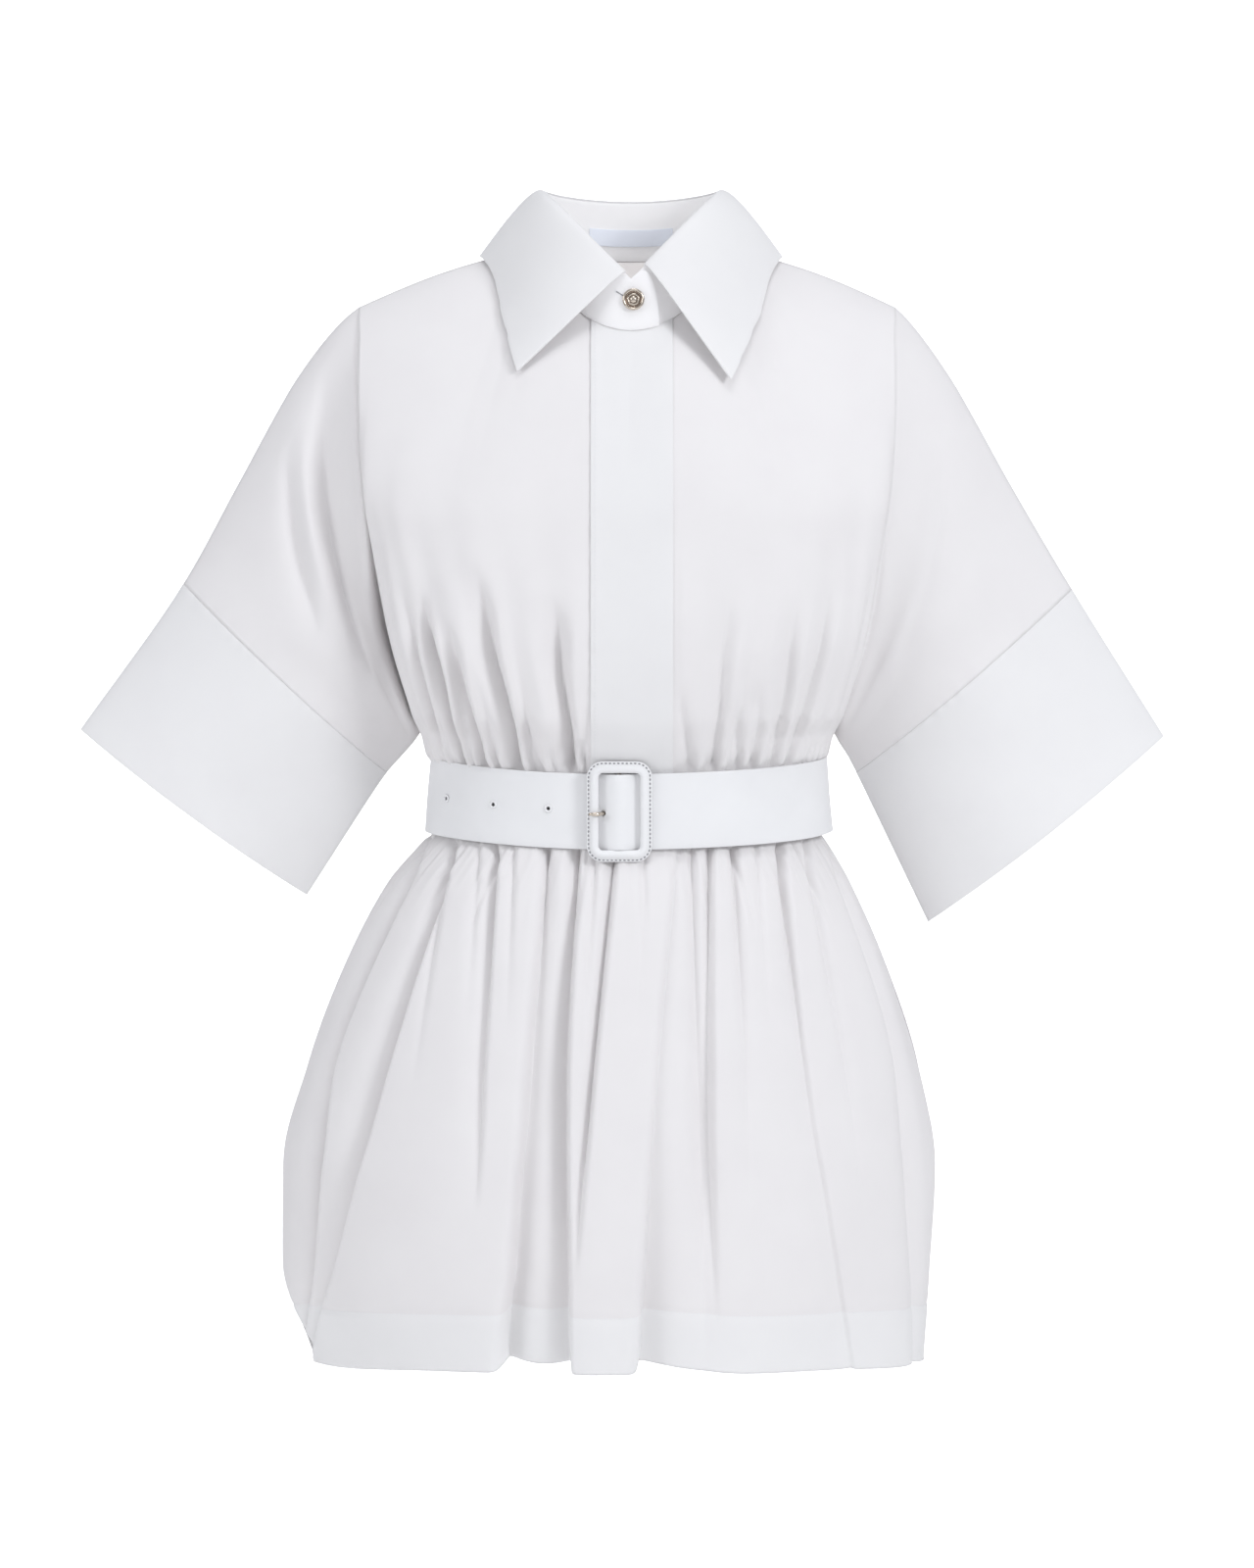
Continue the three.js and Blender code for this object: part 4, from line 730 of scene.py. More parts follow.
@dataclass(frozen=True)
class LeafEdge:
    """A place on the collar leaf's outer edge, and where on the bodice it lies."""

    turn: float
    across: float
    down: float
    lift: float


LEAF_EDGES = (
    LeafEdge(-3.5, -0.334, 0.222, 4),
    LeafEdge(-30, -0.47, 0.135, 3.6),
    LeafEdge(-82, -0.6, 0.0, 3.4),
    LeafEdge(-135, -0.42, 0.07, 5),
    LeafEdge(-180, 0, 0.1, 5),
    LeafEdge(-225, 0.42, 0.07, 5),
    LeafEdge(-278, 0.61, 0.0, 3.4),
    LeafEdge(-328, 0.475, 0.14, 4.4),
    LeafEdge(-351.5, 0.286, 0.227, 8),
)


@dataclass
class Collar:
    """The collar's stand and the leaf that falls from its fold line."""

    bodice: Bodice
    fold_side: float = 64
    fold_front: float = 71
    fold_back: float = 60
    fold_side_z: float = 46
    dip_front: float = 63
    dip_back: float = 8
    tab: float = 17
    lap: float = 2.3
    belly: float = 7
    leaf_wall: float = 1.6
    stand_wall: float = 1.8
    curves: dict[str, Curve] = field(init=False)
    skin: tuple[Array, Array] = field(init=False)

    def __post_init__(self) -> None:
        """Reads the table and samples the bodice that the leaf has to clear."""
        self.curves = curves_of(LEAF_EDGES, "turn", "across", "down", "lift")
        across, down = np.meshgrid(np.linspace(-0.999, 0.999, 121), np.linspace(0.001, 0.4, 41))
        spots = [self.bodice.plain(face, across, down).reshape(-1, 3) for face in Face]
        outs = [self.bodice.normals(face, across, down).reshape(-1, 3) for face in Face]
        self.skin = (np.concatenate(spots), np.concatenate(outs))

    def fold_line(self, angle: Array) -> Array:
        """Returns points of the fold between stand and leaf."""
        c, s = np.cos(np.radians(angle)), np.sin(np.radians(angle))
        front = c > 0
        dip = np.where(
            front,
            self.dip_front * np.maximum(0, 1 - np.abs(s)) ** 1.05,
            self.dip_back * np.maximum(-c, 0) ** 1.5,
        )
        y = np.where(front, -self.fold_front * c, -self.fold_back * c)
        return stack(self.bodice.neck_shift + self.fold_side * s, y, self.fold_side_z - dip)

    def stand_lift(self, angle: Array) -> Array:
        """Returns how far the buttoned end stands proud of the end beneath."""
        return self.lap * ease((angle + 42) / 24)

    def tab_height(self, angle: Array) -> Array:
        """Returns the stand's height as a share, rounded off at its buttoned end."""
        t = np.clip((angle - 3) / (self.tab - 3), 0, 1)
        return np.maximum(0.1, np.sqrt(np.maximum(0, 1 - t * t * 0.99)))

    def stand(self, angle: Array, up: Array) -> Array:
        """Returns points of the stand's middle, up 0 at the neckline and 1 at the fold."""
        low = self.bodice.neckline(angle)
        return low + (self.fold_line(angle) - low) * np.asarray(up, float)[..., None]

    def stand_normals(self, angle: Array, up: Array) -> Array:
        """Returns the stand's outward directions."""
        return normals_of(self.stand, angle, np.clip(up, 0.002, 0.998), (0.4, 1e-3), 1)

    def stand_cloth(self, offset: float = 0) -> Surface:
        """Returns the stand as a surface, lifted at its buttoned end, at an offset outwards."""

        def points(angle: Array, up: Array) -> Array:
            """Returns points of the lifted stand."""
            height = up * self.tab_height(angle)
            lift = self.stand_lift(angle) + offset
            return self.stand(angle, height) + self.stand_normals(angle, height) * lift[..., None]

        return points

    def settle(self, points: Array, clearance: Array) -> Array:
        """Lifts points clear of the bodice.

        Args:
            points: Points near the bodice.
            clearance: The least height of each above it.

        Returns:
            The points, moved out where they were too close.
        """
        spots, outs = self.skin
        flat = points.reshape(-1, 3)
        moved = flat.copy()
        for start in range(0, len(flat), 2000):
            part = flat[start : start + 2000]
            gaps = ((part[:, None, :] - spots[None, :, :]) ** 2).sum(-1)
            near = gaps.argmin(1)
            height = ((part - spots[near]) * outs[near]).sum(-1)
            need = np.maximum(0, clearance.reshape(-1)[start : start + 2000] - height)
            moved[start : start + 2000] += outs[near] * need[:, None]
        return moved.reshape(points.shape)

    def leaf(self, turn: Array, fall: Array) -> Array:
        """Returns points of the leaf, fall 0 at the fold and 1 at its outer edge."""
        across, down, lift = (self.curves[c](turn) for c in ("across", "down", "lift"))
        down = np.maximum(0, down)
        front = ((turn > -90) | (turn < -270))[..., None]
        edge, out = (
            np.where(front, find(Face.FRONT, across, down), find(Face.BACK, across, down))
            for find in (self.bodice.plain, self.bodice.normals)
        )
        level = np.clip(1 - down / 0.03, 0, 1)[..., None]
        out = unit(out * (1 - level) + np.array([0.0, 0.0, 1.0]) * level)
        edge = edge + out * lift[..., None]
        one = np.ones_like(turn)
        outward = self.stand_normals(turn, one)
        upward = unit(self.fold_line(turn) - self.bodice.neckline(turn))
        start = self.fold_line(turn) + outward * (self.stand_lift(turn) - 0.2)[..., None] + upward * 0.5
        roll = start + outward * self.belly + upward * 5.5
        middle = start + (edge - start) * 0.45 + outward * self.belly
        t = fall[..., None]
        rest = 1 - t
        point = rest**3 * start + 3 * t * rest**2 * roll + 3 * t * t * rest * middle + t**3 * edge
        clear = self.settle(point, mix(2.6, lift, ease((fall - 0.2) / 0.5)))
        return np.where((fall < 0.15)[..., None], point, clear)


@dataclass
class Strap:
    """The belt: one strap that runs round the waist, over the buckle's bar and on as its tail."""

    z: float = WAIST_Z
    height: float = 54.5
    half: float = 145.2
    front: float = 102
    back: float = 90
    overlap: float = 3
    start: float = -1.5
    taper: float = 462
    end: float = 472
    over_bar: float = 7.2
    bar_x: float = -5.5
    wall: float = 2.2
    flare: float = 4.4
    rise: float = 5.0

    def line(self, angle: Array) -> Array:
        """Returns points of the strap's middle line at angles from the centre front."""
        turn = np.radians(angle)
        c, s = np.cos(turn), np.sin(turn)
        second = ease((angle - 350) / 18)
        near = (self.half * s - self.bar_x) / 11
        hump = np.where((angle > 300) & (angle < 400), self.over_bar * np.exp(-near * near), 0)
        lap = self.overlap * second
        deep = np.where(c > 0, self.front, self.back) + lap + np.maximum(0, hump - lap)
        return stack((self.half + lap) * s, -deep * c, np.full_like(turn, self.z))

    def climb(self, angle: Array) -> Array:
        """Returns how far the strap climbs from the buckle to the sides."""
        turn = np.radians(angle)
        return self.rise * np.where(np.cos(turn) > 0, np.sin(turn) ** 2, 1)

    def surface(self, angle: Array, up: Array) -> Array:
        """Returns points of the strap, up 0 at its lower edge and 1 at its upper edge."""
        point = self.line(angle)
        t = np.clip((angle - self.taper) / (self.end - self.taper), 0, 1)
        ripple = 0.35 * np.sin(np.radians(angle) * 9) * np.sin(np.pi * up)
        height = (up - 0.5) * self.height * (1 - 0.42 * t * t)
        point[..., 2] = self.z + self.climb(angle) + height + 0.2 * np.sin(np.radians(angle) * 5)
        flare = self.flare * (0.5 - up) * np.abs(np.sin(np.radians(angle)))
        return point + unit(point * LEVEL) * (flare - ripple)[..., None]


class Wiring:
    """A material under work, with its nodes."""

    def __init__(self, name: str) -> None:
        """Starts a material that has one shader.

        Args:
            name: The material's name.
        """
        self.material = bpy.data.materials.new(name)
        self.material.use_nodes = True
        self.tree = self.material.node_tree
        self.shader = self.tree.nodes["Principled BSDF"]

    def join(self, node: bpy.types.Node, inputs: dict[str | int, object]) -> None:
        """Fills a node's inputs.

        Args:
            node: The node.
            inputs: By the input's name or place, a value or the output of another node.
        """
        for key, value in inputs.items():
            if isinstance(value, bpy.types.NodeSocket):
                self.tree.links.new(value, node.inputs[key])
            else:
                node.inputs[key].default_value = value

    def add(self, kind: str, inputs: dict[str | int, object] | None = None) -> bpy.types.Node:
        """Adds a shader node and fills its inputs.

        Args:
            kind: The node's type, without the word that all of them start with.
            inputs: As for join.

        Returns:
            The node.
        """
        node = self.tree.nodes.new(f"ShaderNode{kind}")
        self.join(node, inputs or {})
        return node


@dataclass(frozen=True)
class Poplin:
    """Plain-woven cotton: white, matt, with a fine weave, faint creases and a little glow."""

    name: str = "white_poplin"
    colour: Triple = (0.878, 0.858, 0.858)
    shade: Triple = (0.866, 0.844, 0.846)
    roughness: float = 0.82
    thread: float = 0.55
    weave: float = 0.25
    crumple: float = 0.05
    glow: float = 0.17
    # painted_glow: emission strength, painted light that makes the cloth glow though it is no lamp; lit_above
    # and fades_over make it fade out below a height in metres
    painted_glow: float = 0.0
    lit_above: float | None = None
    fades_over: float = 0.07

    def make(self) -> bpy.types.Material:
        """Builds the material from the piece's own cloth map, in metres."""
        work = Wiring(self.name)
        where = work.add("TexCoord").outputs["Object"]
        cloth = work.add("UVMap")
        cloth.uv_map = "cloth"
        threads = []
        for way in "XY":
            scale = tuple((way == axis) / (self.thread * MM) for axis in "XYZ")
            turn = work.add("Mapping", {"Vector": cloth.outputs["UV"], "Scale": scale})
            wave = work.add("TexWave", {"Vector": turn.outputs["Vector"], "Scale": 0.314, "Distortion": 0})
            wave.wave_type, wave.bands_direction = "BANDS", way
            threads.append(wave.outputs["Fac"])
        weave = work.add("Math", dict(enumerate(threads)))
        weave.operation = "MAXIMUM"
        clouds = {"Vector": where, "Scale": 22, "Detail": 5, "Roughness": 0.55}
        cloud = work.add("TexNoise", clouds).outputs["Fac"]
        slub = work.add("TexNoise", {"Vector": where, "Scale": 900, "Detail": 2}).outputs["Fac"]
        blend = work.add("MapRange", {"Value": cloud, "From Min": 0.3, "From Max": 0.62}).outputs["Result"]
        colours = {"Fac": blend, "Color1": (*self.shade, 1), "Color2": (*self.colour, 1)}
        colour = work.add("MixRGB", colours).outputs["Color"]
        below = {}
        for height, strength, reach in (
            (weave.outputs["Value"], self.weave, 0.08), (slub, 0.2, 0.1), (cloud, self.crumple, 2.5)
        ):
            bump = work.add("Bump", {"Height": height, "Strength": strength, "Distance": reach * MM, **below})
            below = {"Normal": bump.outputs["Normal"]}
        work.join(work.shader, {
            "Base Color": colour, "Roughness": self.roughness, "Sheen Weight": 0.15, "Sheen Roughness": 0.5,
            "Specular IOR Level": 0.25, "Emission Color": (*self.colour, 1), "Emission Strength": self.painted_glow,
            **below,
        })
        if self.lit_above is not None:
            self.fade(work, where)
        through = work.add("BsdfTranslucent", {"Color": colour}).outputs["BSDF"]
        mixed = work.add("MixShader", {"Fac": self.glow, 1: work.shader.outputs["BSDF"], 2: through})
        work.join(work.tree.nodes["Material Output"], {"Surface": mixed.outputs["Shader"]})
        return work.material

    def fade(self, work: Wiring, where: bpy.types.NodeSocket) -> None:
        """Lets the painted glow, emission that paints light onto the cloth, fade out downwards.

        Args:
            work: The material under work.
            where: Its Object coordinates.
        """
        height = work.add("SeparateXYZ", {"Vector": where}).outputs["Z"]
        top = self.lit_above + self.fades_over
        reach = {"From Min": self.lit_above, "From Max": top, "To Max": self.painted_glow}
        strength = work.add("MapRange", {"Value": height, **reach})
        strength.interpolation_type = "SMOOTHSTEP"
        work.join(work.shader, {"Emission Strength": strength.outputs["Result"]})


@dataclass(frozen=True)
class Metal:
    """Polished pale gold with faint polishing marks."""

    name: str = "pale_gold"
    colour: Triple = (0.62, 0.55, 0.47)
    roughness: float = 0.2

    def make(self) -> bpy.types.Material:
        """Builds the material on Object coordinates."""
        work = Wiring(self.name)
        marks = work.add("TexNoise", {"Vector": work.add("TexCoord").outputs["Object"], "Scale": 1800})
        smoothest, roughest = self.roughness - 0.06, self.roughness + 0.1
        rough = work.add("MapRange", {"Value": marks.outputs["Fac"], "To Min": smoothest, "To Max": roughest})
        metal = {"Base Color": (*self.colour, 1), "Metallic": 1, "Roughness": rough.outputs["Result"]}
        work.join(work.shader, metal)
        return work.material


STAND_TINTS = ((0.89, 0.884, 0.888), (0.878, 0.87, 0.876))
STAND_WEAVE = {"roughness": 0.78, "weave": 0.2, "crumple": 0.04, "glow": 0.3}
THREAD_WEAVE = {"roughness": 0.6, "thread": 0.2, "weave": 0.1, "crumple": 0.0, "glow": 0.0}


class Finish(Enum):
    """The finishes of the dress, with the record's slot of each."""

    POPLIN = (Poplin(), "poplin")
    CRISP = (
        Poplin("fused_poplin", (0.898, 0.89, 0.89), (0.886, 0.876, 0.878), 0.78, 0.55, 0.2, 0.03, 0.2),
        "poplin",
    )
    # NECK, INSIDE and STAND have a painted glow: emission that brightens the collar's stand and, above a
    # height, the inside of the back
    NECK = (Poplin("neck_poplin", *STAND_TINTS, **STAND_WEAVE, painted_glow=0.22), "poplin")
    INSIDE = (Poplin("inner_poplin", painted_glow=0.48, lit_above=-0.13), "poplin")
    STAND = (Poplin("stand_poplin", *STAND_TINTS, **STAND_WEAVE, painted_glow=0.09), "poplin")
    BELT = (
        Poplin("belt_covering", (0.8, 0.798, 0.805), (0.775, 0.772, 0.78), 0.62, 0.55, 0.18, 0.06, 0.0),
        "belt",
    )
    THREAD = (Poplin("sewing_thread", (0.86, 0.86, 0.87), (0.82, 0.82, 0.83), **THREAD_WEAVE), "poplin")
    # Dark thread for the buckle's rim: painted shade of the needle holes and of the groove the stitches sit
    # in
    EDGE = (Poplin("rim_painted_shade", (0.3, 0.3, 0.31), (0.24, 0.24, 0.25), **THREAD_WEAVE), "belt")
    # The label also has a small painted glow of emission
    LABEL = (
        Poplin("woven_label", (0.71, 0.74, 0.81), (0.67, 0.7, 0.77), 0.45, 0.4, 0.35, 0.0, 0.0, 0.16),
        "label",
    )
    # Dark cloth that paints shade: it fills the buttonhole's slit and lines the walls of the belt's holes
    SHADOW = (Poplin("painted_hole_shade", (0.33, 0.32, 0.33), (0.3, 0.29, 0.3), 0.8, 0.3, 0.1, 0.0, 0.0), "belt")
    METAL = (Metal(), "metal")
    # Dark metal for rings in the button's grooves: painted shade in its hollows
    PATINA = (Metal("groove_painted_shade", (0.17, 0.12, 0.09), 0.4), "metal")


def new_object(name: str, data: bpy.types.ID) -> bpy.types.Object:
    """Makes an object and puts it in the scene.

    Args:
        name: Its name.
        data: Its mesh, light or camera.

    Returns:
        The object.
    """
    made = bpy.data.objects.new(name, data)
    bpy.context.scene.collection.objects.link(made)
    return made


def picked(geometry: Sequence[object], kind: type) -> list:
    """Returns the vertices or the edges among some geometry."""
    return [part for part in geometry if isinstance(part, kind)]


@dataclass(frozen=True)
class Seam:
    """A way of sewing: from one stitch to the next, and a stitch's length and width."""

    pitch: float
    length: float
    width: float


BAND_SEAM = Seam(2.9, 2.1, 0.4)
LABEL_SEAM = Seam(1.9, 1.4, 0.35)
BUTTONHOLE_SEAM = Seam(0.7, 1.0, 0.75)
BAR_TACK = Seam(0.6, 1.0, 0.6)
SLEEVE_SEAM = Seam(3.2, 2.2, 0.4)
HEM_SEAM = Seam(3.2, 2.3, 0.4)
RIM_SEAM = Seam(3.0, 2.1, 1.2)


class Workroom:
    """Turns surfaces and profiles into finished pieces that ride on the dress."""

    def __init__(self) -> None:
        """Makes every finish once."""
        self.materials = {finish: finish.value[0].make() for finish in Finish}

    def finish_piece(
        self,
        name: str,
        bm: bmesh.types.BMesh,
        finish: Finish,
        nodes: Sequence[str] = (),
        second: Finish | None = None,
    ) -> bpy.types.Object:
        """Makes a piece from a mesh under work.

        Args:
            name: The piece's name.
            bm: The mesh, which is freed.
            finish: Its finish.
            nodes: The solids of the frame that it stands for.
            second: The finish of its doubled cloth or of its inner side.

        Returns:
            The piece.
        """
        for polygon in bm.faces:
            polygon.smooth = True
        mesh = bpy.data.meshes.new(name)
        bm.to_mesh(mesh)
        bm.free()
        piece = new_object(name, mesh)
        mesh.materials.append(self.materials[finish])
        if second is not None:
            mesh.materials.append(self.materials[second])
        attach(piece, "root")
        if nodes:
            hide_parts(*nodes)
        LOG.info("%s: %d faces", name, len(mesh.polygons))
        return piece

    def lay(
        self, surface: Surface, u: Array, v: Array, weld: bool = False, doubled_from: float = math.inf
    ) -> bmesh.types.BMesh:
        """Lays a grid on a surface and maps the cloth's threads along it.

        Args:
            surface: The surface, in millimetres.
            u: Places of the grid's columns, or one row of places for each of its rows.
            v: Places of its rows.
            weld: Whether its two side edges are one.
            doubled_from: The place from which the cloth is doubled.

        Returns:
            The mesh, in metres.
        """
        columns = u.shape[-1]
        shape = (len(v), columns)
        points = surface(np.broadcast_to(u, shape), np.broadcast_to(v[:, None], shape)) * MM
        across, down = np.zeros(shape), np.zeros(shape)
        across[:, 1:] = np.cumsum(np.linalg.norm(np.diff(points, axis=1), axis=-1), axis=1)
        across -= across[:, columns // 2][:, None]
        down[1:] = np.cumsum(np.linalg.norm(np.diff(points, axis=0), axis=-1), axis=0)
        bm = bmesh.new()
        made = bmesh.ops.create_grid(bm, x_segments=columns - 1, y_segments=len(v) - 1, size=1.0)
        layer = bm.loops.layers.uv.new("cloth")
        place = {}
        for vert in made["verts"]:
            i = round((vert.co.x + 1) / 2 * (columns - 1))
            j = round((1 - vert.co.y) / 2 * (len(v) - 1))
            place[vert] = (i, j)
        for polygon in bm.faces:
            for loop in polygon.loops:
                i, j = place[loop.vert]
                loop[layer].uv = (across[j, i], down[j, i])
            if min(v[place[corner][1]] for corner in polygon.verts) >= doubled_from:
                polygon.material_index = 1
        for vert, (i, j) in place.items():
            vert.co = points[j, i]
        if weld:
            bmesh.ops.remove_doubles(bm, verts=bm.verts, dist=1e-6)
        return bm

    def turn_out(self, bm: bmesh.types.BMesh, outward: Callable[[Vector], Vector]) -> None:
        """Turns an open sheet's faces so that they look outwards.

        Args:
            bm: The mesh.
            outward: Gives the outward direction near a point.
        """
        bm.normal_update()
        total = sum(f.normal.dot(outward(f.calc_center_median())) * f.calc_area() for f in bm.faces)
        if total < 0:
            bmesh.ops.reverse_faces(bm, faces=bm.faces)

    def thicken(self, piece: bpy.types.Object, wall: float, edge: float = 0.0, lined: bool = False) -> None:
        """Gives a piece of cloth its thickness, and soft edges where it is thick.

        Args:
            piece: The piece.
            wall: Its thickness.
            edge: How far its edges are rounded.
            lined: Whether its inner side has the piece's second finish.
        """
        solid = piece.modifiers.new("wall", "SOLIDIFY")
        solid.thickness, solid.offset = wall * MM, 0.0
        solid.use_even_offset = False
        solid.material_offset = int(lined)
        if edge:
            soften = piece.modifiers.new("edges", "BEVEL")
            soften.width, soften.segments = edge * MM, 2
            soften.limit_method, soften.angle_limit = "ANGLE", math.radians(50)

    def bake(self, piece: bpy.types.Object) -> None:
        """Applies a piece's modifiers to its mesh."""
        shaped = bpy.data.meshes.new_from_object(piece.evaluated_get(bpy.context.evaluated_depsgraph_get()))
        old = piece.data
        piece.modifiers.clear()
        piece.data = shaped
        shaped.name = piece.name
        bpy.data.meshes.remove(old)

    def revolve(self, profile: Sequence[tuple[float, float]], steps: int, place: Matrix) -> bmesh.types.BMesh:
        """Spins a profile about its axis.

        Args:
            profile: Radius and height of each of its points.
            steps: How many steps the turn takes.
            place: Where the shape goes, its axis along Z.

        Returns:
            The mesh, in metres.
        """
        bm = bmesh.new()
        verts = [bm.verts.new((r * MM, 0, h * MM)) for r, h in profile]
        edges = [bm.edges.new(pair) for pair in zip(verts, verts[1:])]
        bmesh.ops.spin(
            bm, geom=verts + edges, cent=(0, 0, 0), axis=(0, 0, 1),
            angle=2 * math.pi, steps=steps, use_merge=True,
        )
        bmesh.ops.remove_doubles(bm, verts=bm.verts, dist=1e-6)
        bmesh.ops.transform(bm, matrix=place, verts=bm.verts)
        bmesh.ops.recalc_face_normals(bm, faces=bm.faces)
        return bm

    def tube(self, path: Array, radii: Sequence[float], sides: int) -> bmesh.types.BMesh:
        """Sweeps a circle along a path and closes its ends.

        Args:
            path: Points of the path, in millimetres.
            radii: The radius at each point.
            sides: How many sides the tube has.

        Returns:
            The mesh, in metres.
        """
        bm = bmesh.new()
        loops = []
        for k, (point, radius) in enumerate(zip(path, radii)):
            ahead = Vector(path[min(k + 1, len(path) - 1)] - path[max(k - 1, 0)]).normalized()
            turn = ahead.to_track_quat("Z", "Y").to_matrix().to_4x4()
            place = Matrix.Translation(Vector(point) * MM) @ turn
            circle = bmesh.ops.create_circle(
                bm, cap_ends=False, segments=sides, radius=radius * MM, matrix=place
            )
            loops.append(list({edge for vert in circle["verts"] for edge in vert.link_edges}))
        for first, second in zip(loops, loops[1:]):
            bmesh.ops.bridge_loops(bm, edges=first + second)
        bmesh.ops.holes_fill(bm, edges=bm.edges, sides=sides)
        bmesh.ops.recalc_face_normals(bm, faces=bm.faces)
        return bm

    def sew(self, name: str, rows: Sequence[tuple[Array, Array, Seam]], finish: Finish) -> None:
        """Sews rows of stitches and finishes them as one piece.

        Args:
            name: The piece's name.
            rows: Each row's path in millimetres, its outward directions and its seam.
            finish: The thread.
        """
        bm = bmesh.new()
        for path, outs, seam in rows:
            outs = np.broadcast_to(outs, path.shape)
            steps = np.concatenate([[0], np.cumsum(np.linalg.norm(np.diff(path, axis=0), axis=1))])
            count = max(1, int(steps[-1] / seam.pitch))
            size = Matrix.Diagonal((seam.length / 2 * MM, seam.width / 2 * MM, 0.6 * seam.width / 2 * MM, 1))
            for k in range(count):
                at = (k + 0.5) * steps[-1] / count
                here, after, before = (self.read(steps, path, at + along) for along in (0, 0.5, -0.5))
                out = self.read(steps, outs, at).normalized()
                ahead = (after - before).normalized()
                turn = Matrix((ahead, out.cross(ahead).normalized(), out)).transposed().to_4x4()
                place = Matrix.Translation(here * MM) @ turn @ size
                bmesh.ops.create_uvsphere(bm, u_segments=6, v_segments=4, radius=1.0, matrix=place)
        self.finish_piece(name, bm, finish)

    @staticmethod
    def read(steps: Array, values: Array, at: float) -> Vector:
        """Returns the value at a distance along a path."""
        return Vector([np.interp(at, steps, values[:, i]) for i in range(3)])


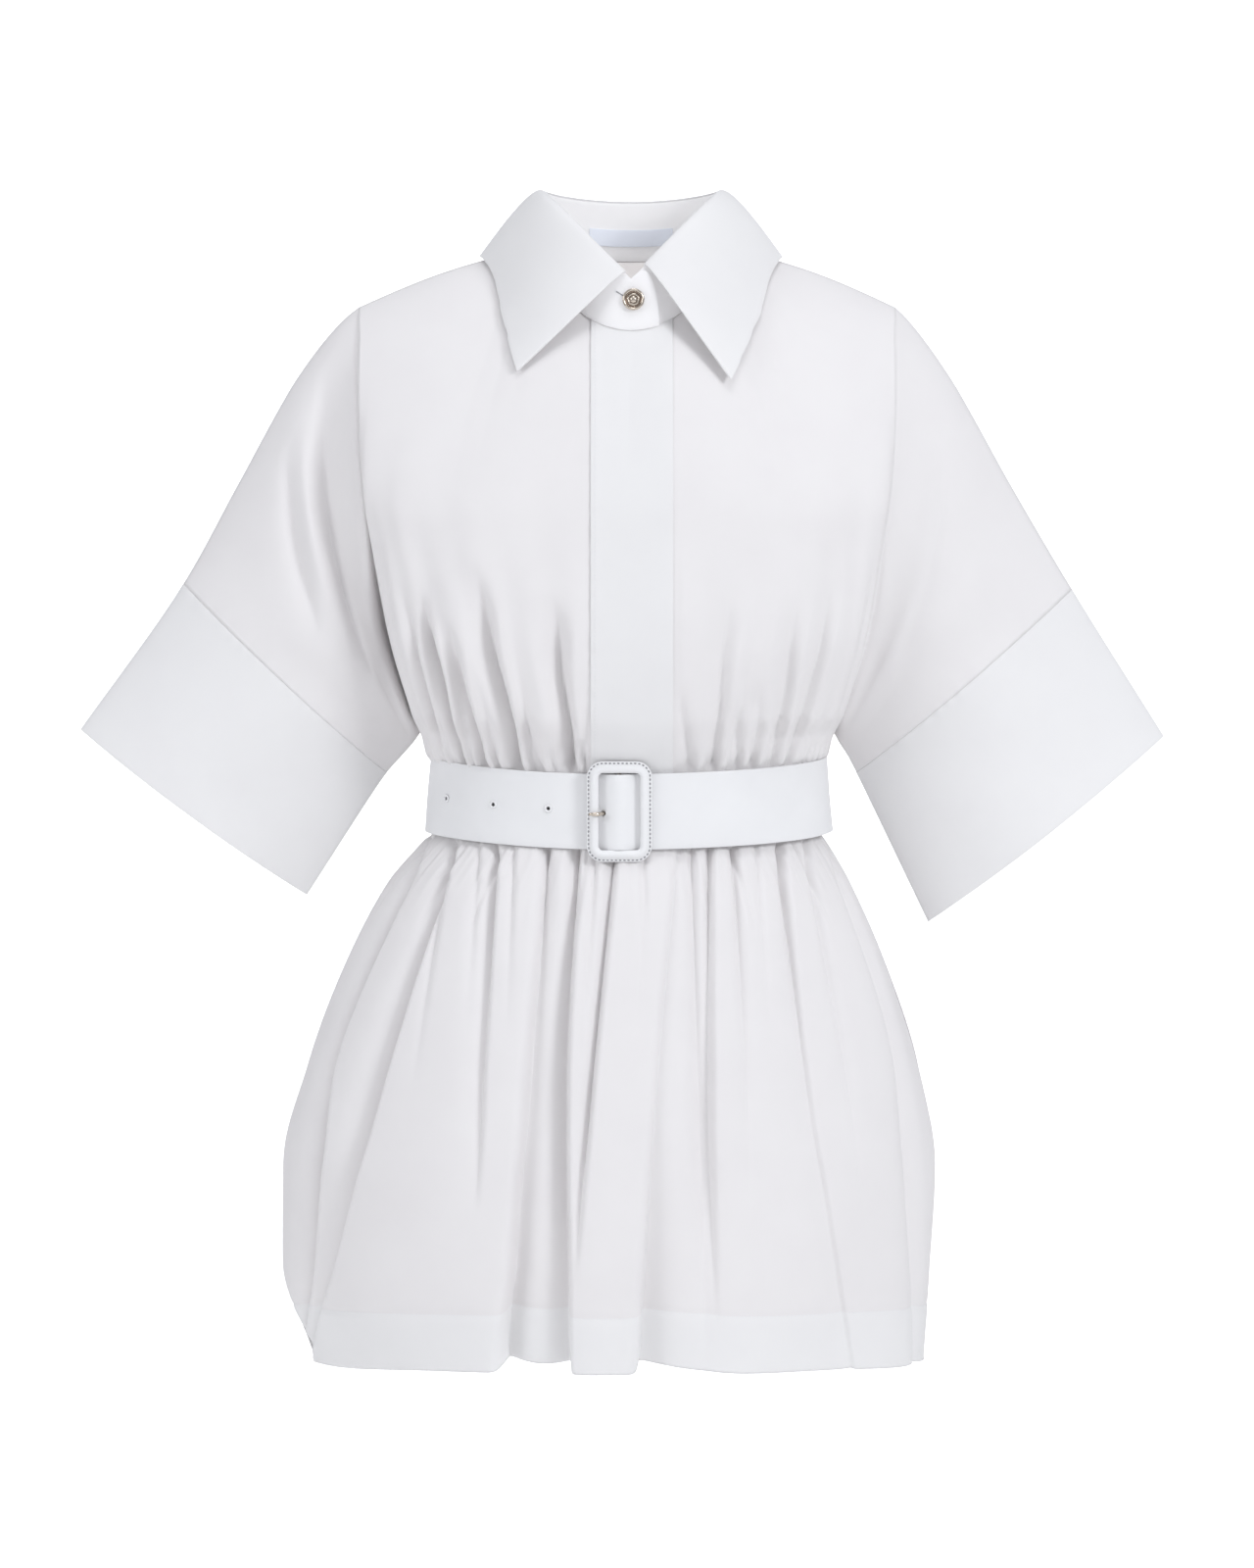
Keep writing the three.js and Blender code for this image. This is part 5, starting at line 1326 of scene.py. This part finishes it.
@dataclass
class Dress:
    """The dress and all of its pieces."""

    room: Workroom
    bodice: Bodice = field(default_factory=Bodice)
    skirt: Skirt = field(default_factory=Skirt)
    strap: Strap = field(default_factory=Strap)
    cloth_wall: float = 0.7
    band_left: float = -26
    band_right: float = 33
    right_edge: float = -23
    left_edge: float = -19
    collar: Collar = field(init=False)
    sleeves: dict[Side, Sleeve] = field(default_factory=dict)

    def __post_init__(self) -> None:
        """Hangs the collar and sleeves on the bodice."""
        self.collar = Collar(self.bodice)
        self.sleeves = {
            Side.RIGHT: Sleeve(Side.RIGHT, self.bodice, RIGHT_SECTIONS, RIGHT_FOLDS, 26, 0.1, 0.62),
            Side.LEFT: Sleeve(Side.LEFT, self.bodice, LEFT_SECTIONS, LEFT_FOLDS, 7, 0.12, 0.12),
        }

    @staticmethod
    def from_axis(point: Vector) -> Vector:
        """Returns the direction away from the dress's upright axis."""
        return Vector((point.x, point.y * 2, 0.25 * (point.z + 0.2)))

    def make_bodice(self) -> None:
        """Makes the two fronts and the back."""
        rows = np.concatenate([np.linspace(0, 0.6, 56)[:-1], np.linspace(0.6, 1, 72)])
        one = np.ones(rows.shape)
        upper = self.bodice.across_at(Face.FRONT, self.right_edge, rows)
        under = self.bodice.across_at(Face.FRONT, self.left_edge, rows)
        spans = {
            "front_right": (Face.FRONT, -one, upper, 110, (0.36, 0.42), 0.105),
            "front_left": (Face.FRONT, under, one, 130, (0.42, 0.42), 0.125),
            "back": (Face.BACK, -one, one, 210, (0.7, 0.44), 0.23),
        }
        for name, (face, low, high, columns, flat, area) in spans.items():
            u = low[:, None] + (high - low)[:, None] * np.linspace(0, 1, columns)
            bm = self.room.lay(self.bodice.cloth(face), u, rows)
            self.room.turn_out(bm, self.from_axis)
            # The back's inner side takes INSIDE, whose painted glow brightens the inside seen down the neck
            inner_glow = Finish.INSIDE if face is Face.BACK else None
            piece = self.room.finish_piece(f"{name}_cloth", bm, Finish.POPLIN, [name], inner_glow)
            self.room.thicken(piece, self.cloth_wall, lined=face is Face.BACK)

    def make_button_band(self) -> None:
        """Makes the band that covers the buttons, with the row of stitches that holds it."""
        rows = np.concatenate([np.linspace(0, 0.6, 60)[:-1], np.linspace(0.6, 1, 56)])
        cloth = self.bodice.cloth(Face.FRONT)
        normals = self.bodice.normals

        def at(offset: float) -> Surface:
            """Returns the band's surface at an offset from the front."""

            def points(x: Array, down: Array) -> Array:
                """Returns points of the band."""
                across = self.bodice.across_at(Face.FRONT, x, down)
                edge = crease(x - self.band_left, 2.2) - 1.6 * crease(x - self.band_left - 4.0, 1.6)
                pucker = 0.3 * np.sin(150 * down + 3 * np.sin(33 * down)) * crease(x - self.band_left, 3)
                sunk = 0.6 * ease((x - self.band_right + 9) / 9)
                lift = offset + pucker - 0.15 * edge - sunk
                return cloth(across, down) + normals(Face.FRONT, across, down) * lift[..., None]

            return points

        bm = self.room.lay(at(1.3), np.linspace(self.band_left, self.band_right, 44), rows)
        self.room.turn_out(bm, self.from_axis)
        piece = self.room.finish_piece("button_band_cloth", bm, Finish.CRISP, ["button_band"])
        self.room.thicken(piece, 1.2, 0.3)
        down = np.linspace(0.01, 0.955, 240)
        line = at(2.0)(np.full(down.shape, self.band_left + 3.2), down)
        self.room.sew("button_band_stitches", [(line, (0.0, -1.0, 0.1), BAND_SEAM)], Finish.THREAD)

    def make_collar(self) -> None:
        """Makes the stand, the leaf, the bare label, the buttonhole and the button."""
        collar, room = self.collar, self.room
        angles = np.concatenate([np.linspace(17, 3, 20)[:-1], np.linspace(3, -374, 236)])
        bm = room.lay(collar.stand_cloth(), angles, np.linspace(0.012, 1, 16))
        room.turn_out(bm, self.from_axis)
        # Both finishes of the stand, STAND and NECK, have a painted glow of emission
        piece = room.finish_piece("collar_stand_cloth", bm, Finish.STAND, ["collar_stand"], Finish.NECK)
        room.thicken(piece, collar.stand_wall, 0.4, lined=True)
        turns = np.linspace(-3.5, -351.5, 250)
        bm = room.lay(collar.leaf, turns, np.linspace(0, 1, 44))
        room.turn_out(bm, lambda p: Vector((p.x, p.y, 0.05)))
        inside = [v for v in bm.verts if not v.is_boundary]
        for _ in range(3):
            axes = {f"use_axis_{axis}": True for axis in "xyz"}
            bmesh.ops.smooth_vert(bm, verts=inside, factor=0.4, **axes)
        piece = room.finish_piece("collar_leaf_cloth", bm, Finish.CRISP, ["collar_leaf"])
        room.thicken(piece, collar.leaf_wall, 0.5)
        self.make_label()
        self.make_button()

    def make_label(self) -> None:
        """Makes the bare label inside the stand at the nape, with its stitched ends."""
        inside = self.collar.stand_cloth(-1.9)
        bm = self.room.lay(inside, np.linspace(-209, -151, 50), np.linspace(0.26, 0.55, 12))
        self.room.turn_out(bm, lambda p: Vector((0, -1, 0)))
        piece = self.room.finish_piece("neck_label_cloth", bm, Finish.LABEL, ["neck_label"])
        self.room.thicken(piece, 0.5, 0.15)
        over, ups = self.collar.stand_cloth(-2.25), np.linspace(0.28, 0.53, 30)
        ends = [over(np.full(ups.shape, angle), ups) for angle in (-207.6, -152.4)]
        self.room.sew("neck_label_stitches", [(end, FORWARD, LABEL_SEAM) for end in ends], Finish.THREAD)

    def make_button(self) -> None:
        """Makes the domed metal button with its rings, and the buttonhole beside it."""
        angle, up = np.array(1.4), np.array(0.58)
        out = self.collar.stand_normals(angle, up)
        out[0] = 0
        out = Vector(unit(out))
        lift = self.collar.lap + self.collar.stand_wall / 2 + 0.9
        seat = Vector(self.collar.stand(angle, up)) + out * lift
        place = Matrix.Translation(seat * MM) @ out.to_track_quat("Z", "Y").to_matrix().to_4x4()
        profile = (
            (0, -0.2), (4.5, -0.2), (7.3, 0.4), (7.8, 1.0), (7.9, 1.5), (7.5, 2.15), (6.9, 2.4), (6.3, 2.2),
            (5.9, 1.6), (5.0, 1.35), (4.5, 1.4), (4.2, 1.9), (3.7, 2.15), (3.2, 1.9), (2.9, 1.5), (2.5, 1.6),
            (2.0, 2.4), (1.2, 2.8), (0, 2.9),
        )
        bm = self.room.revolve(profile, 64, place)
        beads, around, height = 28, 5.35, 1.45
        for k in range(beads):
            turn = 2 * math.pi * k / beads
            spot = Vector((around * math.cos(turn), around * math.sin(turn), height)) * MM
            matrix = place @ Matrix.Translation(spot)
            bmesh.ops.create_icosphere(bm, subdivisions=1, radius=0.36 * MM, matrix=matrix)
        self.room.finish_piece("neck_button_metal", bm, Finish.METAL, ["neck_button"])
        # Dark rings laid in the groove and the well paint the shade in the button's hollows
        groove = (
            (4.45, 1.3), (4.5, 1.5), (5.0, 1.46), (5.9, 1.72),
            (6.15, 2.0), (6.1, 1.5), (5.0, 1.25), (4.45, 1.3),
        )
        well = ((2.45, 1.5), (2.5, 1.72), (2.9, 1.6), (3.15, 1.85), (3.2, 1.6), (2.9, 1.4), (2.45, 1.5))
        for name, ring in (("groove", groove), ("well", well)):
            self.room.finish_piece(f"neck_button_{name}", self.room.revolve(ring, 64, place), Finish.PATINA)
        hole, level = self.collar.stand_cloth(self.collar.stand_wall / 2 + 0.12), 0.585
        # A dark tube in the buttonhole paints the shade inside its slit
        slit = self.room.tube(hole(np.linspace(-9.3, -4.2, 9), np.full(9, level)), [0.2, *[0.42] * 7, 0.2], 8)
        self.room.finish_piece("buttonhole_painted_shade", slit, Finish.SHADOW)
        ends = np.linspace(-9.5, -4.6, 40)
        outs = self.collar.stand_normals(ends, np.full(ends.shape, level))
        rows = [
            (hole(ends, np.full(ends.shape, level + rise)), outs, BUTTONHOLE_SEAM) for rise in (-0.017, 0.017)
        ]
        tack = hole(np.full(12, -9.7), np.linspace(0.563, 0.607, 12))
        self.room.sew("buttonhole_stitches", [*rows, (tack, FORWARD, BAR_TACK)], Finish.THREAD)

    def make_sleeve(self, side: Side) -> None:
        """Makes a sleeve and its wide band, with the sewing along the seam between them.

        Args:
            side: The sleeve's side.
        """
        sleeve, name, room = self.sleeves[side], side.name.lower(), self.room
        turns = np.linspace(0, 2, 176)
        along = np.concatenate([np.linspace(0, 0.3, 34)[:-1], np.linspace(0.3, 1, 46)])
        bm = room.lay(sleeve.tube, turns, along, weld=True)
        room.turn_out(bm, lambda p: Vector((0, p.y, 0)))
        piece = room.finish_piece(f"sleeve_{name}_cloth", bm, Finish.POPLIN, [f"sleeve_{name}"])
        room.thicken(piece, self.cloth_wall)
        bm = room.lay(sleeve.tube, turns, np.linspace(1.0, 1.5, 34), weld=True)
        room.turn_out(bm, lambda p: Vector((0, p.y, 0)))
        piece = room.finish_piece(f"sleeve_band_{name}_cloth", bm, Finish.CRISP, [f"sleeve_band_{name}"])
        room.thicken(piece, 1.3, 0.3)
        line = sleeve.tube(turns, np.full(turns.shape, 0.985))
        middle = (260 * side.value, 0, -250)
        outs = unit((line - middle) * (0.05, 1.0, 0.05))
        room.sew(f"sleeve_band_{name}_stitches", [(line + outs * 0.45, outs, SLEEVE_SEAM)], Finish.THREAD)

    def make_skirt(self) -> None:
        """Makes the skirt's front and back, with the stitches that hold the hem."""
        parts = (np.linspace(0, 0.12, 20)[:-1], np.linspace(0.12, 0.88, 62)[:-1], np.linspace(0.88, 1, 22))
        drops, hem = np.concatenate(parts), self.skirt.hem
        for face in Face:
            node, surface = f"skirt_{face.label}", self.skirt.surface(face)
            bm = self.room.lay(surface, self.skirt.columns(face, drops, 400), drops, doubled_from=hem - 0.002)
            self.room.turn_out(bm, self.from_axis)
            piece = self.room.finish_piece(f"{node}_cloth", bm, Finish.POPLIN, [node], Finish.CRISP)
            self.room.thicken(piece, self.cloth_wall)
            line = surface(np.linspace(-0.995, 0.995, 500), np.full(500, hem))
            outs = unit(line * LEVEL)
            self.room.sew(f"{node}_hem_stitches", [(line + outs * 0.5, outs, HEM_SEAM)], Finish.THREAD)

    def make_belt(self) -> None:
        """Makes the strap with its holes and eyelets."""
        strap, room = self.strap, self.room
        parts = (np.linspace(strap.start, 340, 150)[:-1], np.linspace(340, 372, 60)[:-1])
        angles = np.concatenate([*parts, np.linspace(372, strap.end, 56)])
        bm = room.lay(strap.surface, angles, np.linspace(0, 1, 12))
        room.turn_out(bm, lambda p: Vector((p.x, p.y, 0)))
        piece = room.finish_piece("belt_covering", bm, Finish.BELT, ["belt_strap"])
        room.thicken(piece, strap.wall, 0.5)
        holes = [(360 + a, 1.3, -398.0) for a in (-64, -41.5, -22.9)]
        prong_hole = 360 + math.degrees(math.asin(-17.0 / strap.half))
        cutters = bmesh.new()
        for angle, radius, z in [*holes, (prong_hole, 1.9, PRONG_Z)]:
            size = {"radius1": radius * MM, "radius2": radius * MM, "depth": 8 * MM}
            place = self.strap_place(angle, z, 0)
            bmesh.ops.create_cone(cutters, cap_ends=True, segments=20, **size, matrix=place)
        mesh = bpy.data.meshes.new("awl")
        cutters.to_mesh(mesh)
        cutters.free()
        # The cutter's faces carry SHADOW, so the walls of the punched holes take painted shade
        for finish in (Finish.BELT, Finish.SHADOW):
            mesh.materials.append(room.materials[finish])
        for polygon in mesh.polygons:
            polygon.material_index = 1
        awl = new_object("awl", mesh)
        punch = piece.modifiers.new("holes", "BOOLEAN")
        punch.object, punch.operation, punch.solver = awl, "DIFFERENCE", "EXACT"
        punch.material_mode = "TRANSFER"
        room.bake(piece)
        bpy.data.objects.remove(awl)
        bpy.data.meshes.remove(mesh)
        for k, (angle, _, z) in enumerate(holes):
            profile = ((1.3, -0.6), (1.35, 0.2), (1.7, 0.7), (2.3, 0.85), (2.9, 0.6), (3.1, 0.0), (1.3, -0.6))
            ring = room.revolve(profile, 28, self.strap_place(angle, z, strap.wall / 2 + 0.05))
            room.finish_piece(f"eyelet_{k + 1}_ring", ring, Finish.BELT, [f"eyelet_{k + 1}"])

    def strap_place(self, angle: float, z: float, out: float) -> Matrix:
        """Places an axis through the strap.

        Args:
            angle: The place round the belt.
            z: The height.
            out: How far outside the strap's middle.

        Returns:
            The place, in metres.
        """
        strap, at = self.strap, np.array(float(angle))
        x, y, _ = strap.line(at)
        away = Vector((x / strap.half**2, y / strap.front**2, 0)).normalized()
        spot = (Vector((x, y, z + strap.climb(at))) + away * out) * MM
        return Matrix.Translation(spot) @ away.to_track_quat("Z", "Y").to_matrix().to_4x4()

    def make_buckle(self) -> None:
        """Makes the covered frame with its stitched rim, its bar and the prong."""
        room = self.room
        centre = Vector((self.strap.bar_x, -107, -398.5))
        width, height, corner, rim = 30.0, 55.5, 3.0, 7.2
        profile = (
            (0.0, 0.4), (0.15, 2.0), (0.9, 3.4), (2.3, 4.25), (3.9, 4.3), (5.2, 3.5), (5.9, 2.5), (6.3, 2.15),
            (8.0, 2.1), (8.45, 1.7), (8.5, 0.5), (8.2, 0.0), (0.4, 0.0),
        )
        bm = bmesh.new()
        verts = [bm.verts.new(((width / 2 + s) * MM, -h * MM, 0)) for s, h in profile]
        loop = [bm.edges.new(pair) for pair in zip(verts, [*verts[1:], verts[0]])]
        x, z = width / 2 - corner, height / 2 - corner
        bmesh.ops.translate(bm, vec=(0, 0, -z * MM), verts=verts)
        for way, turn_at in (
            ((0, 0, 2 * z), (x, 0, z)), ((-2 * x, 0, 0), (-x, 0, z)),
            ((0, 0, -2 * z), (-x, 0, -z)), ((2 * x, 0, 0), (x, 0, -z)),
        ):
            moved = bmesh.ops.extrude_edge_only(bm, edges=loop)["geom"]
            fresh = picked(moved, bmesh.types.BMVert)
            loop = picked(moved, bmesh.types.BMEdge)
            bmesh.ops.translate(bm, vec=Vector(way) * MM, verts=fresh)
            quarter = {"cent": Vector(turn_at) * MM, "axis": (0, -1, 0), "angle": math.pi / 2, "steps": 8}
            loop = picked(bmesh.ops.spin(bm, geom=fresh + loop, **quarter)["geom_last"], bmesh.types.BMEdge)
        bmesh.ops.remove_doubles(bm, verts=bm.verts, dist=2e-6)
        bmesh.ops.translate(bm, vec=centre * MM, verts=bm.verts)
        bmesh.ops.recalc_face_normals(bm, faces=bm.faces)
        room.finish_piece("buckle_covering", bm, Finish.BELT, ["buckle_frame"])
        path = self.rounded(width / 2 + rim, height / 2 + rim, corner + rim)
        line = np.array([[x, 0.0, z] for x, z in path]) + (centre.x, centre.y - 2.2, centre.z)
        # The rim's stitches are dark: painted shade of their needle holes and groove
        room.sew("buckle_stitches", [(line, FORWARD, RIM_SEAM)], Finish.EDGE)
        ends = np.array([[centre.x, -105.6, centre.z + half] for half in (-30.0, 30.0)])
        room.finish_piece("buckle_bar", room.tube(ends, (1.6, 1.6), 16), Finish.METAL)
        path = np.array([
            [-8.6, -105.3], [-12.2, -104.3], [-14.5, -103.2], [-16.4, -104.2], [-18.0, -107.2],
            [-19.6, -110.8], [-21.8, -112.9], [-24.4, -112.9], [-27.6, -112.6],
        ])
        prong = room.tube(
            np.insert(path, 2, PRONG_Z, axis=1), (1.2, 1.2, 1.2, 1.25, 1.35, 1.45, 1.45, 1.3, 0.9), 14
        )
        room.finish_piece("prong_metal", prong, Finish.METAL, ["prong"])

    @staticmethod
    def rounded(half_width: float, half_height: float, corner: float) -> list[tuple[float, float]]:
        """Returns points round a rounded rectangle, closed."""
        points = []
        for sx, sz, start in ((1, 1, 0), (-1, 1, 90), (-1, -1, 180), (1, -1, 270)):
            for k in range(9):
                a = math.radians(start + 90 * k / 8)
                x = sx * (half_width - corner) + corner * math.cos(a)
                points.append((x, sz * (half_height - corner) + corner * math.sin(a)))
        return [*points, points[0]]

    def make_all(self) -> None:
        """Makes every piece in order."""
        self.make_bodice()
        self.make_button_band()
        self.make_collar()
        for side in Side:
            self.make_sleeve(side)
        self.make_skirt()
        self.make_belt()
        self.make_buckle()


@dataclass
class Studio:
    """The pale sweep, the soft lights and the camera."""

    distance: float = 5.0
    elevation: float = 4.5
    target: Triple = (0.0, 0.0, -0.387)
    lens: float = 156.25
    world: float = 0.53
    tint: Triple = (0.97, 0.99, 1.02)

    def make_camera(self) -> None:
        """Sets the camera at the photograph's angle, for a frame of 1280 by 1600."""
        data = bpy.data.cameras.new("camera")
        data.lens, data.sensor_width = self.lens, 36.0
        camera = new_object("camera", data)
        tilt = math.radians(self.elevation)
        away = Vector((0, -math.cos(tilt), math.sin(tilt))) * self.distance
        camera.location = Vector(self.target) + away
        camera.rotation_euler = (-away).to_track_quat("-Z", "Y").to_euler()
        bpy.context.scene.camera = camera

    def make_light(self, name: str, place: Triple, size: float, power: float) -> None:
        """Hangs a soft light that looks at the dress.

        Args:
            name: Its name.
            place: Where it hangs.
            size: Its width.
            power: Its power in watts.
        """
        data = bpy.data.lights.new(name, "AREA")
        data.shape, data.size, data.energy, data.color = "SQUARE", size, power, self.tint
        light = new_object(name, data)
        light.location = place
        aim = Vector(self.target) - Vector(place)
        light.rotation_euler = aim.to_track_quat("-Z", "Y").to_euler()

    def make_sweep(self) -> None:
        """Makes the pale floor that curves up into a backdrop."""
        bm = bmesh.new()
        half, near, far, floor, rise = 2.6, -9, 6, -1.7, 0.8
        edge = [bm.edges.new([bm.verts.new((x, near, floor)) for x in (-half, half)])]
        grown = bmesh.ops.extrude_edge_only(bm, edges=edge)["geom"]
        fresh, edge = (picked(grown, kind) for kind in (bmesh.types.BMVert, bmesh.types.BMEdge))
        bmesh.ops.translate(bm, vec=(0, far - near, 0), verts=fresh)
        bend = {"cent": (0, far, rise), "axis": (1, 0, 0), "angle": math.pi / 2, "steps": 24}
        edge = picked(bmesh.ops.spin(bm, geom=fresh + edge, **bend)["geom_last"], bmesh.types.BMEdge)
        grown = bmesh.ops.extrude_edge_only(bm, edges=edge)["geom"]
        bmesh.ops.translate(bm, vec=(0, 0, 1), verts=picked(grown, bmesh.types.BMVert))
        for polygon in bm.faces:
            polygon.smooth = True
        mesh = bpy.data.meshes.new("sweep")
        bm.to_mesh(mesh)
        bm.free()
        paper = Wiring("white_paper")
        depth = paper.add("SeparateXYZ", {"Vector": paper.add("TexCoord").outputs["Object"]}).outputs["Y"]
        fade = {"From Min": 2.0, "From Max": 2.6, "To Min": 0.25, "To Max": 1.0}
        glow = paper.add("MapRange", {"Value": depth, **fade}).outputs["Result"]
        white = {"Base Color": (0.9, 0.9, 0.9, 1), "Roughness": 1.0, "Emission Color": (1, 1, 1, 1)}
        paper.join(paper.shader, {**white, "Emission Strength": glow})
        mesh.materials.append(paper.material)
        sweep = new_object("sweep", mesh)

    def make_all(self) -> None:
        """Sets up the studio."""
        scene = bpy.context.scene
        scene.view_settings.view_transform = "Standard"
        world = bpy.data.worlds.new("studio_air")
        scene.world = world
        world.use_nodes = True
        air = world.node_tree.nodes["Background"]
        air.inputs["Color"].default_value = (0.965, 0.985, 1.03, 1)
        air.inputs["Strength"].default_value = self.world
        self.make_sweep()
        self.make_light("key", (2.8, -2.8, 1.5), 1.1, 70)
        self.make_light("fill", (-3.4, -2.2, 0.9), 1.6, 38)
        self.make_light("top", (0.2, -1.2, 3.0), 1.6, 28)


def main() -> None:
    logging.basicConfig(level=logging.INFO, format="%(message)s")
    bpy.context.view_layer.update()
    studio = Studio()
    studio.make_camera()
    studio.make_all()
    Dress(Workroom()).make_all()
    bpy.context.view_layer.update()


if __name__ == "__main__":
    main()
